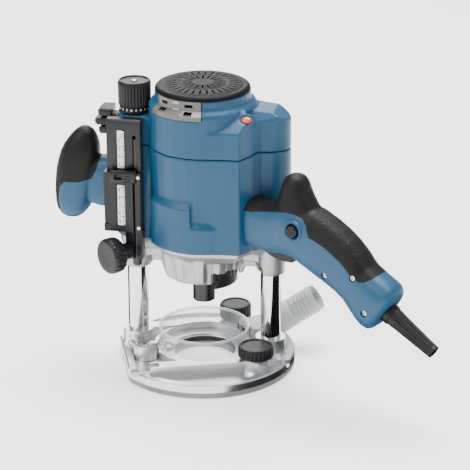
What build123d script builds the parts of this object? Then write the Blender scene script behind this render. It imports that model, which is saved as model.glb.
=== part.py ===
from build123d import *

# Plunge router: a motor head with two handles that slides down two chrome columns
# onto a round base with a clear dust hood. Millimetres and degrees, +Z up.
# The origin is on the spindle axis at the sole's underside. The columns stand on
# the X axis; the base's flat side and guide rods are turned BASE_TURN about Z.
# The head is drawn at the top of its stroke.
import os
from math import atan2, cos, degrees, radians, sin

os.makedirs("parts", exist_ok=True)

# ---------------------------------------------------------------- driving dimensions
BASE_TURN = 19.0
BASE_R = 90.0
BASE_FLAT_X = -80.0
SOLE_T = 6.0
WEB_TOP = 11.0
RIM_TOP = 14.0
RIM_W = 8.0
OPENING_R = 31.0
RING_TOP = 13.0

ROD_Y = 48.0                    # guide rod axes, either side of the spindle
ROD_Z = 12.0
ROD_HOLE_R = 4.1
RIB_W = 14.0
RIB_TOP = 20.0
RIB_LEFT = -62.0
RIB_RIGHT = 70.0

COLUMN_X = 66.5
COLUMN_R = 10.0
COLUMN_BORE_R = 7.2
COLUMN_FOOT = 8.0
COLUMN_TOP = 190.0
BOSS_R = 15.0
BOSS_TOP = 31.0

HOOD_R = 44.6
HOOD_WALL = 2.0
HOOD_TOP = 38.5
DUST_ANGLE = 38.0               # the way the dust passage leaves the hood

CASTING_BOTTOM = 96.0
SLEEVE_BOTTOM = 100.0
SLEEVE_TOP = 146.0
NOSE_R = 40.0
HOUSING_BOTTOM = 134.0
LEDGE_Z = 172.0
SPLIT_Z = 229.0
CORNER_Z = 254.0
SHOULDER_Z = 271.0
NECK_Z = 275.0
NECK_TOP = 284.0
DRUM_R = 52.0
NECK_R = 46.0
WALL = 3.0
SKIRT_GROW = 1.6                # the lower skirt stands proud of the drum by this
LEFT_TOWER_R = 17.0
LEFT_TOWER_TOP = 257.0
RIGHT_TOWER_R = 18.5
RIGHT_TOWER_TOP = 265.0
TOWER_BORE_R = 12.6
FACET_RISE = 0.8                # slope of the lamp facet above the front corner

SHAFT_R = 6.0
JOURNAL_R = 8.0
RUNNING = 0.05                  # radial clearance of a running fit

HANDLE_ANGLE = -27.0            # plan angle of the switch handle
HANDLE_HALF = 20.0
LEFT_HANDLE_HALF = 17.0

DEPTH_X = -61.0
DEPTH_Y = -24.0
DEPTH_ROD_R = 4.5
GUIDE_FRONT = -33.0
GUIDE_BACK = -18.8

UP = (0, 0, 1)
BASE = Plane.XY.rotated((0, 0, BASE_TURN))


# ---------------------------------------------------------------- shared construction
def finish(builder, name):
    """Label one finished piece and write it under its node's name."""
    builder.part.label = name
    export_step(builder.part, f"parts/{name}.step")


def on_base(x, y):
    """A point of the base's own turned plan, in the part's frame."""
    turn = radians(BASE_TURN)
    return x * cos(turn) - y * sin(turn), x * sin(turn) + y * cos(turn)


def turned(points, x=0.0, y=0.0, start=0.0, arc=360.0, mode=Mode.ADD):
    """Revolve (radius, height) points about the vertical axis through (x, y)."""
    side = (cos(radians(start)), sin(radians(start)), 0)
    plane = Plane((x, y, 0), x_dir=side, z_dir=(side[1], -side[0], 0))
    with BuildSketch(plane) as profile:
        with BuildLine():
            Polyline(*points, close=True)
        make_face()
    revolve(profile.sketch, axis=Axis((x, y, 0), UP), revolution_arc=arc, mode=mode)


def ring(inner, outer, bottom, top, x=0.0, y=0.0):
    """A plain turned ring."""
    turned([(inner, bottom), (outer, bottom), (outer, top), (inner, top)], x, y)


def rod(start, direction, radius, length, mode=Mode.ADD):
    """A round bar, or a drilled hole, from a point along a direction."""
    with BuildSketch(Plane(origin=start, z_dir=direction)) as section:
        Circle(radius)
    extrude(section.sketch, amount=length, mode=mode)


def fluted(plane, radius, height, flutes, flute_r):
    """A knob's fluted body standing on a plane."""
    with BuildSketch(plane) as section:
        Circle(radius)
        with PolarLocations(radius + flute_r * 0.55, flutes):
            Circle(flute_r, mode=Mode.SUBTRACT)
    extrude(section.sketch, amount=height)


def sector(radius, start, arc):
    """A pie slice added to the current sketch at the current locations."""
    reach = radius / cos(radians(arc / 2)) * 1.05
    with BuildSketch() as wedge:
        Circle(radius)
        with BuildLine():
            Polyline((0, 0), (reach * cos(radians(start)), reach * sin(radians(start))),
                     (reach * cos(radians(start + arc)), reach * sin(radians(start + arc))), close=True)
        make_face(mode=Mode.INTERSECT)
    add(wedge.sketch)


def slab(x_range, y_range, z_range, mode=Mode.ADD):
    """A block given by its limits on the three axes."""
    low, high = (x_range[0], y_range[0], z_range[0]), (x_range[1], y_range[1], z_range[1])
    size = [b - a for a, b in zip(low, high)]
    with Locations(Location(low)):
        Box(*size, align=(Align.MIN, Align.MIN, Align.MIN), mode=mode)


def outline_on(plane, points):
    """A face bounded by a smooth closed curve through the points."""
    with BuildSketch(plane) as face:
        with BuildLine():
            Spline(*points, periodic=True)
        make_face()
    return face.sketch


def polygon_on(plane, points):
    """A face bounded by straight lines between the points."""
    with BuildSketch(plane) as face:
        with BuildLine():
            Polyline(*points, close=True)
        make_face()
    return face.sketch


# ---------------------------------------------------------------- base
def base_outline(height):
    """Round plate with one flat side, at a height."""
    with BuildSketch(BASE.offset(height)) as plan:
        Circle(BASE_R)
        with Locations((BASE_FLAT_X - BASE_R, 0)):
            Rectangle(2 * BASE_R, 2 * BASE_R, mode=Mode.SUBTRACT)
    return plan.sketch


SOLE_SCREW_PLACES = [on_base(76 * cos(radians(a)), 76 * sin(radians(a))) for a in (5, 90, 185, 270)]
SOLE_SCREW_R = 2.4
SOLE_SCREW_HEAD_R = 4.6

with BuildPart() as sole_plate:
    extrude(base_outline(0), amount=SOLE_T)
    with Locations((0, 0, SOLE_T)):
        Hole(OPENING_R)
    with Locations(*[Location((x, y, 0), (180, 0, 0)) for x, y in SOLE_SCREW_PLACES]):
        CounterSinkHole(SOLE_SCREW_R + 0.2, SOLE_SCREW_HEAD_R + 0.4, counter_sink_angle=90)
finish(sole_plate, "sole_plate")

TURRET_X = -53.5
TURRET_Y = -27.5
PIVOT_R = 3.0
KNOB_SCREW_R = 2.4
KNOB_BOSS_TOP = 22.0
FRONT_KNOB = on_base(43.8, -ROD_Y)
BACK_KNOB = on_base(39.0, ROD_Y)
LEVER_PIVOT = on_base(-35.0, 12.0)

HOOD_SEAT_R = HOOD_R + 2.2
with BuildPart() as base_plate:
    extrude(base_outline(SOLE_T), amount=WEB_TOP - SOLE_T)
    with BuildSketch(BASE.offset(SOLE_T)):
        add(base_outline(0))
        offset(base_outline(0), amount=-RIM_W, mode=Mode.SUBTRACT)
    extrude(amount=RIM_TOP - SOLE_T)
    with BuildSketch(BASE.offset(SOLE_T)):
        with Locations(*[((RIB_LEFT + RIB_RIGHT) / 2, side * ROD_Y) for side in (-1, 1)]):
            Rectangle(RIB_RIGHT - RIB_LEFT, RIB_W)
    extrude(amount=RIB_TOP - SOLE_T)
    with BuildSketch(Plane.XY.offset(SOLE_T)):
        with Locations(FRONT_KNOB, BACK_KNOB):
            Circle(RIB_W / 2 + 6)
    extrude(amount=KNOB_BOSS_TOP - 2 - SOLE_T)
    rod((0, 0, SOLE_T + 1), UP, HOOD_SEAT_R, 40, mode=Mode.SUBTRACT)
    rod((0, 0, SOLE_T), UP, HOOD_SEAT_R, RING_TOP - SOLE_T)
    for x in (-COLUMN_X, COLUMN_X):
        rod((x, 0, SOLE_T), UP, BOSS_R, BOSS_TOP - SOLE_T)
    with Locations((0, 0, RING_TOP)):
        Hole(OPENING_R)
    with Locations((-COLUMN_X, 0, BOSS_TOP), (COLUMN_X, 0, BOSS_TOP)):
        Hole(COLUMN_R, depth=BOSS_TOP - COLUMN_FOOT)
    for side in (-1, 1):
        start = on_base(-95, side * ROD_Y)
        rod((*start, ROD_Z), (cos(radians(BASE_TURN)), sin(radians(BASE_TURN)), 0),
            ROD_HOLE_R, 200, mode=Mode.SUBTRACT)
    for x, y in (FRONT_KNOB, BACK_KNOB):
        rod((x, y, ROD_Z), UP, KNOB_SCREW_R + 0.1, 20, mode=Mode.SUBTRACT)
    for x, y in SOLE_SCREW_PLACES:
        rod((x, y, SOLE_T - 1), UP, SOLE_SCREW_R + 0.1, 10, mode=Mode.SUBTRACT)
    rod((TURRET_X, TURRET_Y, SOLE_T + 1), UP, PIVOT_R, 10, mode=Mode.SUBTRACT)
    rod((*LEVER_PIVOT, SOLE_T + 1), UP, 2.0, 10, mode=Mode.SUBTRACT)
finish(base_plate, "base_plate")

with BuildPart() as sole_screws:
    for x, y in SOLE_SCREW_PLACES:
        turned([(0, 0.6), (SOLE_SCREW_HEAD_R - 0.4, 0.6), (SOLE_SCREW_R, 2.4),
                (SOLE_SCREW_R, WEB_TOP - 0.5), (0, WEB_TOP - 0.5)], x, y)
finish(sole_screws, "sole_screws")

for side, x in (("left", -COLUMN_X), ("right", COLUMN_X)):
    with BuildPart() as column:
        turned([(0, COLUMN_FOOT), (COLUMN_R, COLUMN_FOOT), (COLUMN_R, COLUMN_TOP - 1.5),
                (COLUMN_R - 1.5, COLUMN_TOP), (COLUMN_BORE_R, COLUMN_TOP),
                (COLUMN_BORE_R, COLUMN_FOOT + 6), (0, COLUMN_FOOT + 6)], x)
    finish(column, f"column_{side}")

# The plunge springs stand inside the columns and push on the caps of the towers.
SPRING_FOOT = COLUMN_FOOT + 6.0
SPRING_TOP = 251.0
SPRING_R = 5.6
WIRE_R = 0.9
SPRING_PITCH = 12.0
with BuildPart() as plunge_springs:
    for x in (-COLUMN_X, COLUMN_X):
        height = SPRING_TOP - SPRING_FOOT - 2 * WIRE_R
        coil = Helix(SPRING_PITCH, height, SPRING_R, center=(x, 0, SPRING_FOOT + WIRE_R))
        with BuildSketch(Plane(origin=coil @ 0, z_dir=coil % 0)) as wire_section:
            Circle(WIRE_R)
        sweep(wire_section.sketch, path=coil, is_frenet=True)
finish(plunge_springs, "plunge_springs")

with BuildPart() as dust_hood:
    inner = HOOD_R - HOOD_WALL
    turned([(inner, RING_TOP), (HOOD_R + 2, RING_TOP), (HOOD_R + 2, RING_TOP + 2),
            (HOOD_R, RING_TOP + 2), (HOOD_R, HOOD_TOP - 2), (HOOD_R + 0.6, HOOD_TOP - 2),
            (HOOD_R + 0.6, HOOD_TOP), (inner, HOOD_TOP)])
    with BuildSketch(Plane.XY.rotated((0, 0, DUST_ANGLE)).offset(RING_TOP + 3)):
        with Locations((HOOD_R, 0)):
            Rectangle(12, 20)
    extrude(amount=12, mode=Mode.SUBTRACT)
    for side in (-1, 1):
        rod((*on_base(-95, side * ROD_Y), ROD_Z), (cos(radians(BASE_TURN)), sin(radians(BASE_TURN)), 0),
            ROD_HOLE_R + 0.5, 200, mode=Mode.SUBTRACT)
finish(dust_hood, "dust_hood")

PASSAGE_FLOOR = 16.0
PASSAGE_TOP = 28.0
PASSAGE_HALF = 10.0
ADAPTER_HALF = 15.0
ADAPTER_TOP = 31.0
ADAPTER_NEAR = 46.9
ADAPTER_FAR = 85.0
SPIGOT_R = 14.2
SPIGOT_BORE_R = 12.0
SPIGOT_START = Vector(62.0, 45.8, 24.0)
SPIGOT_MOUTH = Vector(105.8, 49.1, 55.0)
SPIGOT_DIR = (SPIGOT_MOUTH - SPIGOT_START).normalized()
SPIGOT_LENGTH = (SPIGOT_MOUTH - SPIGOT_START).length
DUST_PLANE = Plane.XY.rotated((0, 0, DUST_ANGLE))

with BuildPart() as dust_adapter:
    with BuildSketch(DUST_PLANE.offset(WEB_TOP)):
        with Locations(((HOOD_SEAT_R + BASE_R - RIM_W) / 2, 0)):
            Rectangle(BASE_R - RIM_W - HOOD_SEAT_R - 1.6, 2 * ADAPTER_HALF)
        with BuildSketch(Plane.XY, mode=Mode.INTERSECT):
            Circle(BASE_R - RIM_W - 0.4)
    extrude(amount=ADAPTER_TOP - WEB_TOP)
    with BuildSketch(DUST_PLANE.offset(RIM_TOP + 0.2)):
        with Locations(((ADAPTER_NEAR + ADAPTER_FAR) / 2, 0)):
            Rectangle(ADAPTER_FAR - ADAPTER_NEAR, 2 * ADAPTER_HALF)
    extrude(amount=ADAPTER_TOP - RIM_TOP - 0.2)
    with BuildSketch(DUST_PLANE.offset(PASSAGE_FLOOR - 1)):
        with Locations((ADAPTER_NEAR, 0)):
            Rectangle(4.4, 2 * PASSAGE_HALF + 3)
    extrude(amount=PASSAGE_TOP - PASSAGE_FLOOR + 2)
    fillet(dust_adapter.edges().filter_by(Axis.Z).group_by(Axis.Z)[-1], 2.0)
    rod(SPIGOT_START + SPIGOT_DIR * 4, SPIGOT_DIR, SPIGOT_R, SPIGOT_LENGTH - 4)
    with BuildSketch(DUST_PLANE.offset(PASSAGE_FLOOR)):
        with Locations(((ADAPTER_NEAR - 4 + 82) / 2, 0)):
            Rectangle(82 - ADAPTER_NEAR + 4, 2 * PASSAGE_HALF)
    extrude(amount=PASSAGE_TOP - PASSAGE_FLOOR, mode=Mode.SUBTRACT)
    rod(SPIGOT_START + SPIGOT_DIR * 5, SPIGOT_DIR, SPIGOT_BORE_R, SPIGOT_LENGTH, mode=Mode.SUBTRACT)
finish(dust_adapter, "dust_adapter")

# The stepped turret that the depth rod lands on turns about a shoulder bolt.
TURRET_R = 12.2
TURRET_FLOOR = 11.4
TURRET_STEPS = (16.0, 18.5, 21.0, 23.5, 26.0, 28.5)
STEP_ANGLE = 360 / len(TURRET_STEPS)
TURRET_SCREW_R = 1.9
with BuildPart() as turret:
    ring(PIVOT_R + RUNNING, TURRET_R, TURRET_FLOOR, TURRET_STEPS[0], TURRET_X, TURRET_Y)
    for index, top in enumerate(TURRET_STEPS[1:], start=1):
        with BuildSketch(Plane.XY.offset(TURRET_STEPS[0] - 1)):
            with Locations((TURRET_X, TURRET_Y)):
                sector(TURRET_R, index * STEP_ANGLE, STEP_ANGLE)
                Circle(5.2, mode=Mode.SUBTRACT)
        extrude(amount=top - TURRET_STEPS[0] + 1)
    for index in (1, 3, 5):
        middle = radians((index + 0.5) * STEP_ANGLE)
        place = (TURRET_X + 9 * cos(middle), TURRET_Y + 9 * sin(middle), TURRET_FLOOR + 2)
        rod(place, UP, TURRET_SCREW_R, 20, mode=Mode.SUBTRACT)
finish(turret, "stop_turret")

with BuildPart() as turret_screws:
    for index in (1, 3, 5):
        middle = radians((index + 0.5) * STEP_ANGLE)
        x, y = TURRET_X + 9 * cos(middle), TURRET_Y + 9 * sin(middle)
        top = TURRET_STEPS[index]
        turned([(0, TURRET_FLOOR + 3), (TURRET_SCREW_R - 0.1, TURRET_FLOOR + 3),
                (TURRET_SCREW_R - 0.1, top), (3.0, top), (3.0, top + 1.2), (0, top + 1.2)], x, y)
finish(turret_screws, "turret_screws")

with BuildPart() as base_pivots:
    turned([(0, SOLE_T + 1), (PIVOT_R, SOLE_T + 1), (PIVOT_R, TURRET_STEPS[0] + 0.3),
            (4.8, TURRET_STEPS[0] + 0.3), (4.8, TURRET_STEPS[0] + 3), (0, TURRET_STEPS[0] + 3)],
           TURRET_X, TURRET_Y)
    turned([(0, SOLE_T + 1), (2.0, SOLE_T + 1), (2.0, RING_TOP + 3.1), (3.4, RING_TOP + 3.1),
            (3.4, RING_TOP + 4.3), (0, RING_TOP + 4.3)], *LEVER_PIVOT)
finish(base_pivots, "base_pivots")

# A small lever over the opening locks a template guide in the bore.
with BuildPart() as guide_lever:
    reach = atan2(-LEVER_PIVOT[1], -LEVER_PIVOT[0])
    with BuildSketch(Plane.XY.offset(RING_TOP + 0.3)):
        with Locations(LEVER_PIVOT):
            Circle(4.5)
        with Locations(Location((LEVER_PIVOT[0], LEVER_PIVOT[1], 0), (0, 0, degrees(reach)))):
            with Locations((4, 0)):
                Rectangle(10, 5)
        with Locations(Location((LEVER_PIVOT[0], LEVER_PIVOT[1], 0), (0, 0, degrees(reach) - 75))):
            with Locations((6.5, 0)):
                Rectangle(11, 5)
        with Locations(LEVER_PIVOT):
            Circle(2.0 + RUNNING, mode=Mode.SUBTRACT)
    extrude(amount=2.5)
finish(guide_lever, "template_guide_lever")


def rod_knob(name, place, radius, height):
    """A fluted clamp knob over a guide rod, on the screw moulded into it."""
    bottom = KNOB_BOSS_TOP + 1.0
    with BuildPart() as knob:
        fluted(Plane(origin=(*place, bottom)), radius, height, 24, 1.2)
        with Locations((*place, bottom + height)):
            Hole(14.0, depth=0.8)
        ring(0, 9.0, KNOB_BOSS_TOP - 1.6, bottom + 1, *place)
        screw_tip = ROD_Z + ROD_HOLE_R + 0.3
        rod((*place, screw_tip), UP, KNOB_SCREW_R, bottom - screw_tip)
    finish(knob, name)


rod_knob("rod_knob_front", FRONT_KNOB, 17.4, 11.0)
rod_knob("rod_knob_back", BACK_KNOB, 16.0, 15.0)


# ---------------------------------------------------------------- head casting
def housing_plan(height, grow=0.0):
    """Plan of the head: the drum, two column towers and the front corner."""
    with BuildSketch(Plane.XY.offset(height)) as plan:
        Circle(DRUM_R)
        with Locations((-COLUMN_X, 0)):
            Circle(LEFT_TOWER_R)
        with Locations((COLUMN_X, 0)):
            Circle(RIGHT_TOWER_R)
        with Locations((-COLUMN_X / 2, 0)):
            Rectangle(COLUMN_X, 2 * LEFT_TOWER_R)
        with Locations((COLUMN_X / 2, 0)):
            Rectangle(COLUMN_X, 2 * RIGHT_TOWER_R)
        with BuildLine():
            Polyline((0, 0), (10, -51), (29, -48.5), (43, -48.5), (50.5, -36), (55.5, -24), (58, -10),
                     close=True)
        make_face()
        if grow:
            offset(amount=grow)
    return plan.sketch


BUSH_R = 12.0
BUSH_BOTTOM = 102.0
BUSH_TOP = 144.0
BEARING_R = 17.5
BEARING_BOTTOM = 104.0
BEARING_TOP = 116.0
RING_LEVER_TOP = 107.0
with BuildPart() as casting:
    extrude(housing_plan(HOUSING_BOTTOM - 0.1, -1.2), amount=-10, taper=24)
    for x, radius in ((-COLUMN_X, 14.5), (COLUMN_X, 13.5)):
        ring(0, radius, SLEEVE_BOTTOM, HOUSING_BOTTOM, x)
        ring(0, 14.0 if x < 0 else 13.5, HOUSING_BOTTOM - 1, SLEEVE_TOP, x)
        slab((min(x, 0), max(x, 0)), (-9, 9), (110, HOUSING_BOTTOM - 0.1))
    turned([(0, RING_LEVER_TOP + 0.6), (NOSE_R - 5.4, RING_LEVER_TOP + 0.6),
            (NOSE_R - 5.4, CASTING_BOTTOM), (NOSE_R - 2, CASTING_BOTTOM), (NOSE_R, CASTING_BOTTOM + 3),
            (NOSE_R + 3, HOUSING_BOTTOM - 0.1), (0, HOUSING_BOTTOM - 0.1)])
    ring(0, 20.0, CASTING_BOTTOM, HOUSING_BOTTOM - 0.1)
    with BuildSketch(Plane.XY.offset(CASTING_BOTTOM - 1)):
        with BuildLine():
            Polyline((21, -2), (60, -2), (60, -60), (12, -60), close=True)
        make_face()
        Circle(20.4, mode=Mode.SUBTRACT)
    extrude(amount=RING_LEVER_TOP + 0.6 - CASTING_BOTTOM + 1, mode=Mode.SUBTRACT)
    rod((0, 0, CASTING_BOTTOM - 1), UP, 12.0, 50, mode=Mode.SUBTRACT)
    rod((0, 0, BEARING_BOTTOM), UP, BEARING_R, 50, mode=Mode.SUBTRACT)
    for x in (-COLUMN_X, COLUMN_X):
        rod((x, 0, SLEEVE_BOTTOM - 1), UP, COLUMN_R + 0.4, 60, mode=Mode.SUBTRACT)
        rod((x, 0, BUSH_BOTTOM), UP, BUSH_R, 60, mode=Mode.SUBTRACT)
finish(casting, "nose_casting")

with BuildPart() as column_bushes:
    for x in (-COLUMN_X, COLUMN_X):
        ring(COLUMN_R + RUNNING, BUSH_R, BUSH_BOTTOM, BUSH_TOP, x)
finish(column_bushes, "column_bushes")

# The spindle lock is a ring under the nose with a thumb tab at the front.
with BuildPart() as spindle_lock:
    turned([(20.0 + RUNNING, 96.6), (34.0, 96.6), (34.0, RING_LEVER_TOP), (20.0 + RUNNING, RING_LEVER_TOP)])
    with BuildSketch(Plane.XY.offset(89)):
        sector(34.0, -60, 56)
        Circle(21.5, mode=Mode.SUBTRACT)
    extrude(amount=10)
finish(spindle_lock, "spindle_lock_ring")

# ---------------------------------------------------------------- housings
LEFT_BOLT_Z = (178.0, 200.0)
LEFT_BOLT_R = 2.5
with BuildPart() as lower_housing:
    extrude(housing_plan(HOUSING_BOTTOM, SKIRT_GROW), amount=LEDGE_Z - HOUSING_BOTTOM)
    extrude(housing_plan(LEDGE_Z), amount=SPLIT_Z - LEDGE_Z)
    extrude(housing_plan(HOUSING_BOTTOM, -WALL), amount=SPLIT_Z - HOUSING_BOTTOM, mode=Mode.SUBTRACT)
    for z in LEFT_BOLT_Z:
        rod((-COLUMN_X, 0, z), (-1, 0, 0), LEFT_BOLT_R + 0.1, 30, mode=Mode.SUBTRACT)
finish(lower_housing, "lower_housing")

VENT_PROFILE = [(NECK_R - WALL, NECK_TOP - 0.2), (NECK_R + 0.6, NECK_TOP - 0.2), (NECK_R + 0.6, NECK_Z + 0.3),
                (DRUM_R + 0.6, SHOULDER_Z + 0.3), (DRUM_R + 0.6, 267), (DRUM_R - WALL, 267),
                (DRUM_R - WALL, SHOULDER_Z - 1.5), (NECK_R - WALL, NECK_Z - 1.5)]
VENT_START = -143.0
VENT_ARC = 62.0
FINE_KNOB_R = 16.0
LAMP_PLACE = (48.0, -35.0)
lamp_z = CORNER_Z + FACET_RISE * (LAMP_PLACE[1] + 50.0)
FACET_ANGLE = degrees(atan2(FACET_RISE, 1))
LAMP_AXIS = (0, -sin(radians(FACET_ANGLE)), cos(radians(FACET_ANGLE)))
lamp_seat = Vector(*LAMP_PLACE, lamp_z) - Vector(*LAMP_AXIS) * 2

with BuildPart() as upper_housing:
    extrude(housing_plan(SPLIT_Z + 0.3), amount=SHOULDER_Z - SPLIT_Z)
    # the front corner is cut back to a facet that rises from the corner's edge
    facet_plane = Plane((0, -50, CORNER_Z), x_dir=(1, 0, 0), z_dir=LAMP_AXIS)
    with BuildSketch(facet_plane):
        with Locations((30, 0)):
            Rectangle(140, 80)
        with Locations((-60, 0)):
            Rectangle(40, 80)
    extrude(amount=60, mode=Mode.SUBTRACT)
    with BuildSketch(Plane.XY.offset(LEFT_TOWER_TOP)):
        with Locations((-COLUMN_X, 0)):
            Rectangle(60, 60)
        Circle(DRUM_R, mode=Mode.SUBTRACT)
    extrude(amount=40, mode=Mode.SUBTRACT)
    with BuildSketch(Plane.XY.offset(RIGHT_TOWER_TOP)):
        with Locations((COLUMN_X, 0)):
            Rectangle(60, 60)
        Circle(DRUM_R, mode=Mode.SUBTRACT)
    extrude(amount=40, mode=Mode.SUBTRACT)
    turned([(0, SPLIT_Z + 0.3), (DRUM_R, SPLIT_Z + 0.3), (DRUM_R, SHOULDER_Z), (NECK_R, NECK_Z),
            (NECK_R, NECK_TOP), (0, NECK_TOP)])
    rod((-COLUMN_X, 0, LEFT_TOWER_TOP), UP, FINE_KNOB_R + 0.6, 40, mode=Mode.SUBTRACT)
    extrude(housing_plan(SPLIT_Z, -WALL), amount=CORNER_Z - 4 - SPLIT_Z, mode=Mode.SUBTRACT)
    turned([(0, SPLIT_Z), (DRUM_R - WALL, SPLIT_Z), (DRUM_R - WALL, SHOULDER_Z - 1.5),
            (NECK_R - WALL, NECK_Z - 1.5), (NECK_R - WALL, NECK_TOP + 1), (0, NECK_TOP + 1)],
           mode=Mode.SUBTRACT)
    rod((-COLUMN_X, 0, SPLIT_Z), UP, TOWER_BORE_R, LEFT_TOWER_TOP - 5 - SPLIT_Z, mode=Mode.SUBTRACT)
    rod((COLUMN_X, 0, SPLIT_Z), UP, TOWER_BORE_R, LEFT_TOWER_TOP - 5 - SPLIT_Z, mode=Mode.SUBTRACT)
    rod((-COLUMN_X, 0, SPLIT_Z), UP, PIVOT_R + RUNNING, 40, mode=Mode.SUBTRACT)
    rod(lamp_seat, LAMP_AXIS, 4.3, 20, mode=Mode.SUBTRACT)
    turned(VENT_PROFILE, start=VENT_START, arc=VENT_ARC, mode=Mode.SUBTRACT)
    # hole in the left tower for the lock lever's screw
    rod((-COLUMN_X - 30, 4, 247), (1, 0, 0), 3.3, 18, mode=Mode.SUBTRACT)
finish(upper_housing, "upper_housing")

with BuildPart() as vent_panel:
    turned(VENT_PROFILE, start=VENT_START + 0.3, arc=VENT_ARC - 0.6)
    for angle in (-129, -96):
        for z in (279.5, 273.0):
            side = (cos(radians(angle)), sin(radians(angle)), 0)
            with BuildSketch(Plane((side[0] * 40, side[1] * 40, z), x_dir=(-side[1], side[0], 0), z_dir=side)):
                Rectangle(8, 3)
            extrude(amount=20, mode=Mode.SUBTRACT)
finish(vent_panel, "vent_panel")

with BuildPart() as top_cover:
    turned([(0, 286.5), (0, 290), (28, 289), (42, 287), (NECK_R - 0.4, NECK_TOP + 0.1),
            (NECK_R - WALL - 0.2, NECK_TOP + 0.1), (NECK_R - WALL - 0.2, NECK_TOP - 3),
            (NECK_R - WALL - 2.2, NECK_TOP - 3), (NECK_R - WALL - 2.2, NECK_TOP)])
finish(top_cover, "top_cover")

with BuildPart() as lamp:
    rod(lamp_seat, LAMP_AXIS, 4.1, 3.0)
finish(lamp, "indicator_lamp")

HOUSING_SCREW_PLACES = [(-44.5, 13.0), (-44.5, -13.0), (44.5, 13.0), (43.0, -17.0)]
with BuildPart() as housing_screws:
    for x, y in HOUSING_SCREW_PLACES:
        turned([(0, 150), (1.8, 150), (1.8, 242), (2.5, 242), (2.5, 245), (0, 245)], x, y)
finish(housing_screws, "housing_screws")

# ---------------------------------------------------------------- motor
FAN_BOTTOM = 138.0
CORE_BOTTOM = 164.0
CORE_TOP = 210.0
COMMUTATOR_BOTTOM = 222.0
COMMUTATOR_TOP = 238.0
COMMUTATOR_R = 13.0
UPPER_BEARING = 246.0
COLLET_R = 5.2
with BuildPart() as spindle:
    turned([(0, 76), (JOURNAL_R - 0.4, 76), (JOURNAL_R - 0.4, 90), (JOURNAL_R, 90),
            (JOURNAL_R, 134), (SHAFT_R, 134), (SHAFT_R, UPPER_BEARING + 8), (0, UPPER_BEARING + 8)])
    rod((0, 0, 75), UP, COLLET_R + 0.05, 25, mode=Mode.SUBTRACT)
finish(spindle, "spindle")

with BuildPart() as collet:
    ring(4.0, COLLET_R, 68, 98)
    for angle in (0, 60, 120):
        with BuildSketch(Plane.XY.offset(76.0)):
            Rectangle(12, 0.6, rotation=angle)
        extrude(amount=23, mode=Mode.SUBTRACT)
finish(collet, "collet")

with BuildPart() as collet_nut:
    with BuildSketch(Plane.XY.offset(67.0)):
        RegularPolygon(radius=12.2, side_count=6)
        Circle(10.9, mode=Mode.INTERSECT)
    extrude(amount=20)
    rod((0, 0, 66), UP, COLLET_R + 0.1, 30, mode=Mode.SUBTRACT)
    rod((0, 0, 75.5), UP, JOURNAL_R - 0.3, 30, mode=Mode.SUBTRACT)
finish(collet_nut, "collet_nut")

with BuildPart() as lower_bearing:
    ring(JOURNAL_R + RUNNING, BEARING_R, BEARING_BOTTOM, BEARING_TOP)
finish(lower_bearing, "lower_bearing")

with BuildPart() as upper_bearing:
    ring(SHAFT_R + RUNNING, 13.0, UPPER_BEARING, UPPER_BEARING + 8)
finish(upper_bearing, "upper_bearing")

with BuildPart() as bearing_bridge:
    ring(13.0, 17.5, UPPER_BEARING - 2, UPPER_BEARING + 10)
    with BuildSketch(Plane.XY.offset(UPPER_BEARING - 2)):
        for angle in (30, 150, 270):
            with Locations(Location((0, 0, 0), (0, 0, angle))):
                with Locations((31.5, 0)):
                    Rectangle(30, 10)
        Circle(DRUM_R - WALL - 0.2, mode=Mode.INTERSECT)
        Circle(16, mode=Mode.SUBTRACT)
    extrude(amount=5)
finish(bearing_bridge, "bearing_bridge")

with BuildPart() as fan:
    ring(SHAFT_R, 10.0, FAN_BOTTOM, FAN_BOTTOM + 14)
    ring(8.0, 40.0, FAN_BOTTOM, FAN_BOTTOM + 2)
    with BuildSketch(Plane.XY.offset(FAN_BOTTOM + 1)):
        with PolarLocations(24.5, 18):
            Rectangle(28, 1.6)
    extrude(amount=11)
finish(fan, "fan")

with BuildPart() as armature_core:
    with BuildSketch(Plane.XY.offset(CORE_BOTTOM)):
        Circle(24.0)
        Circle(SHAFT_R, mode=Mode.SUBTRACT)
        with PolarLocations(22.0, 12):
            Rectangle(5.0, 2.6, mode=Mode.SUBTRACT)
    extrude(amount=CORE_TOP - CORE_BOTTOM)
finish(armature_core, "armature_core")

with BuildPart() as armature_windings:
    for bottom, top in ((CORE_BOTTOM - 9, CORE_BOTTOM), (CORE_TOP, CORE_TOP + 9)):
        turned([(SHAFT_R, bottom), (18, bottom), (21, bottom + 3), (21, top - 3), (18, top), (SHAFT_R, top)])
finish(armature_windings, "armature_windings")

with BuildPart() as commutator:
    ring(SHAFT_R, COMMUTATOR_R, COMMUTATOR_BOTTOM, COMMUTATOR_TOP)
finish(commutator, "commutator")

with BuildPart() as field_core:
    with BuildSketch(Plane.XY.offset(CORE_BOTTOM)):
        Circle(43.0)
        Circle(36.0, mode=Mode.SUBTRACT)
        with Locations((0, 32), (0, -32)):
            Rectangle(30, 16)
        Circle(25.0, mode=Mode.SUBTRACT)
        with Locations((-44, 0), (44, 0)):
            Rectangle(3, 20)
        Circle(43.0, mode=Mode.INTERSECT)
    extrude(amount=CORE_TOP - CORE_BOTTOM)
finish(field_core, "field_core")

with BuildPart() as field_coils:
    for start in (60, 240):
        for bottom, top in ((CORE_BOTTOM - 8, CORE_BOTTOM), (CORE_TOP, CORE_TOP + 8)):
            turned([(28, bottom), (38, bottom), (38, top), (28, top)], start=start, arc=60)
finish(field_coils, "field_coils")

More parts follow.
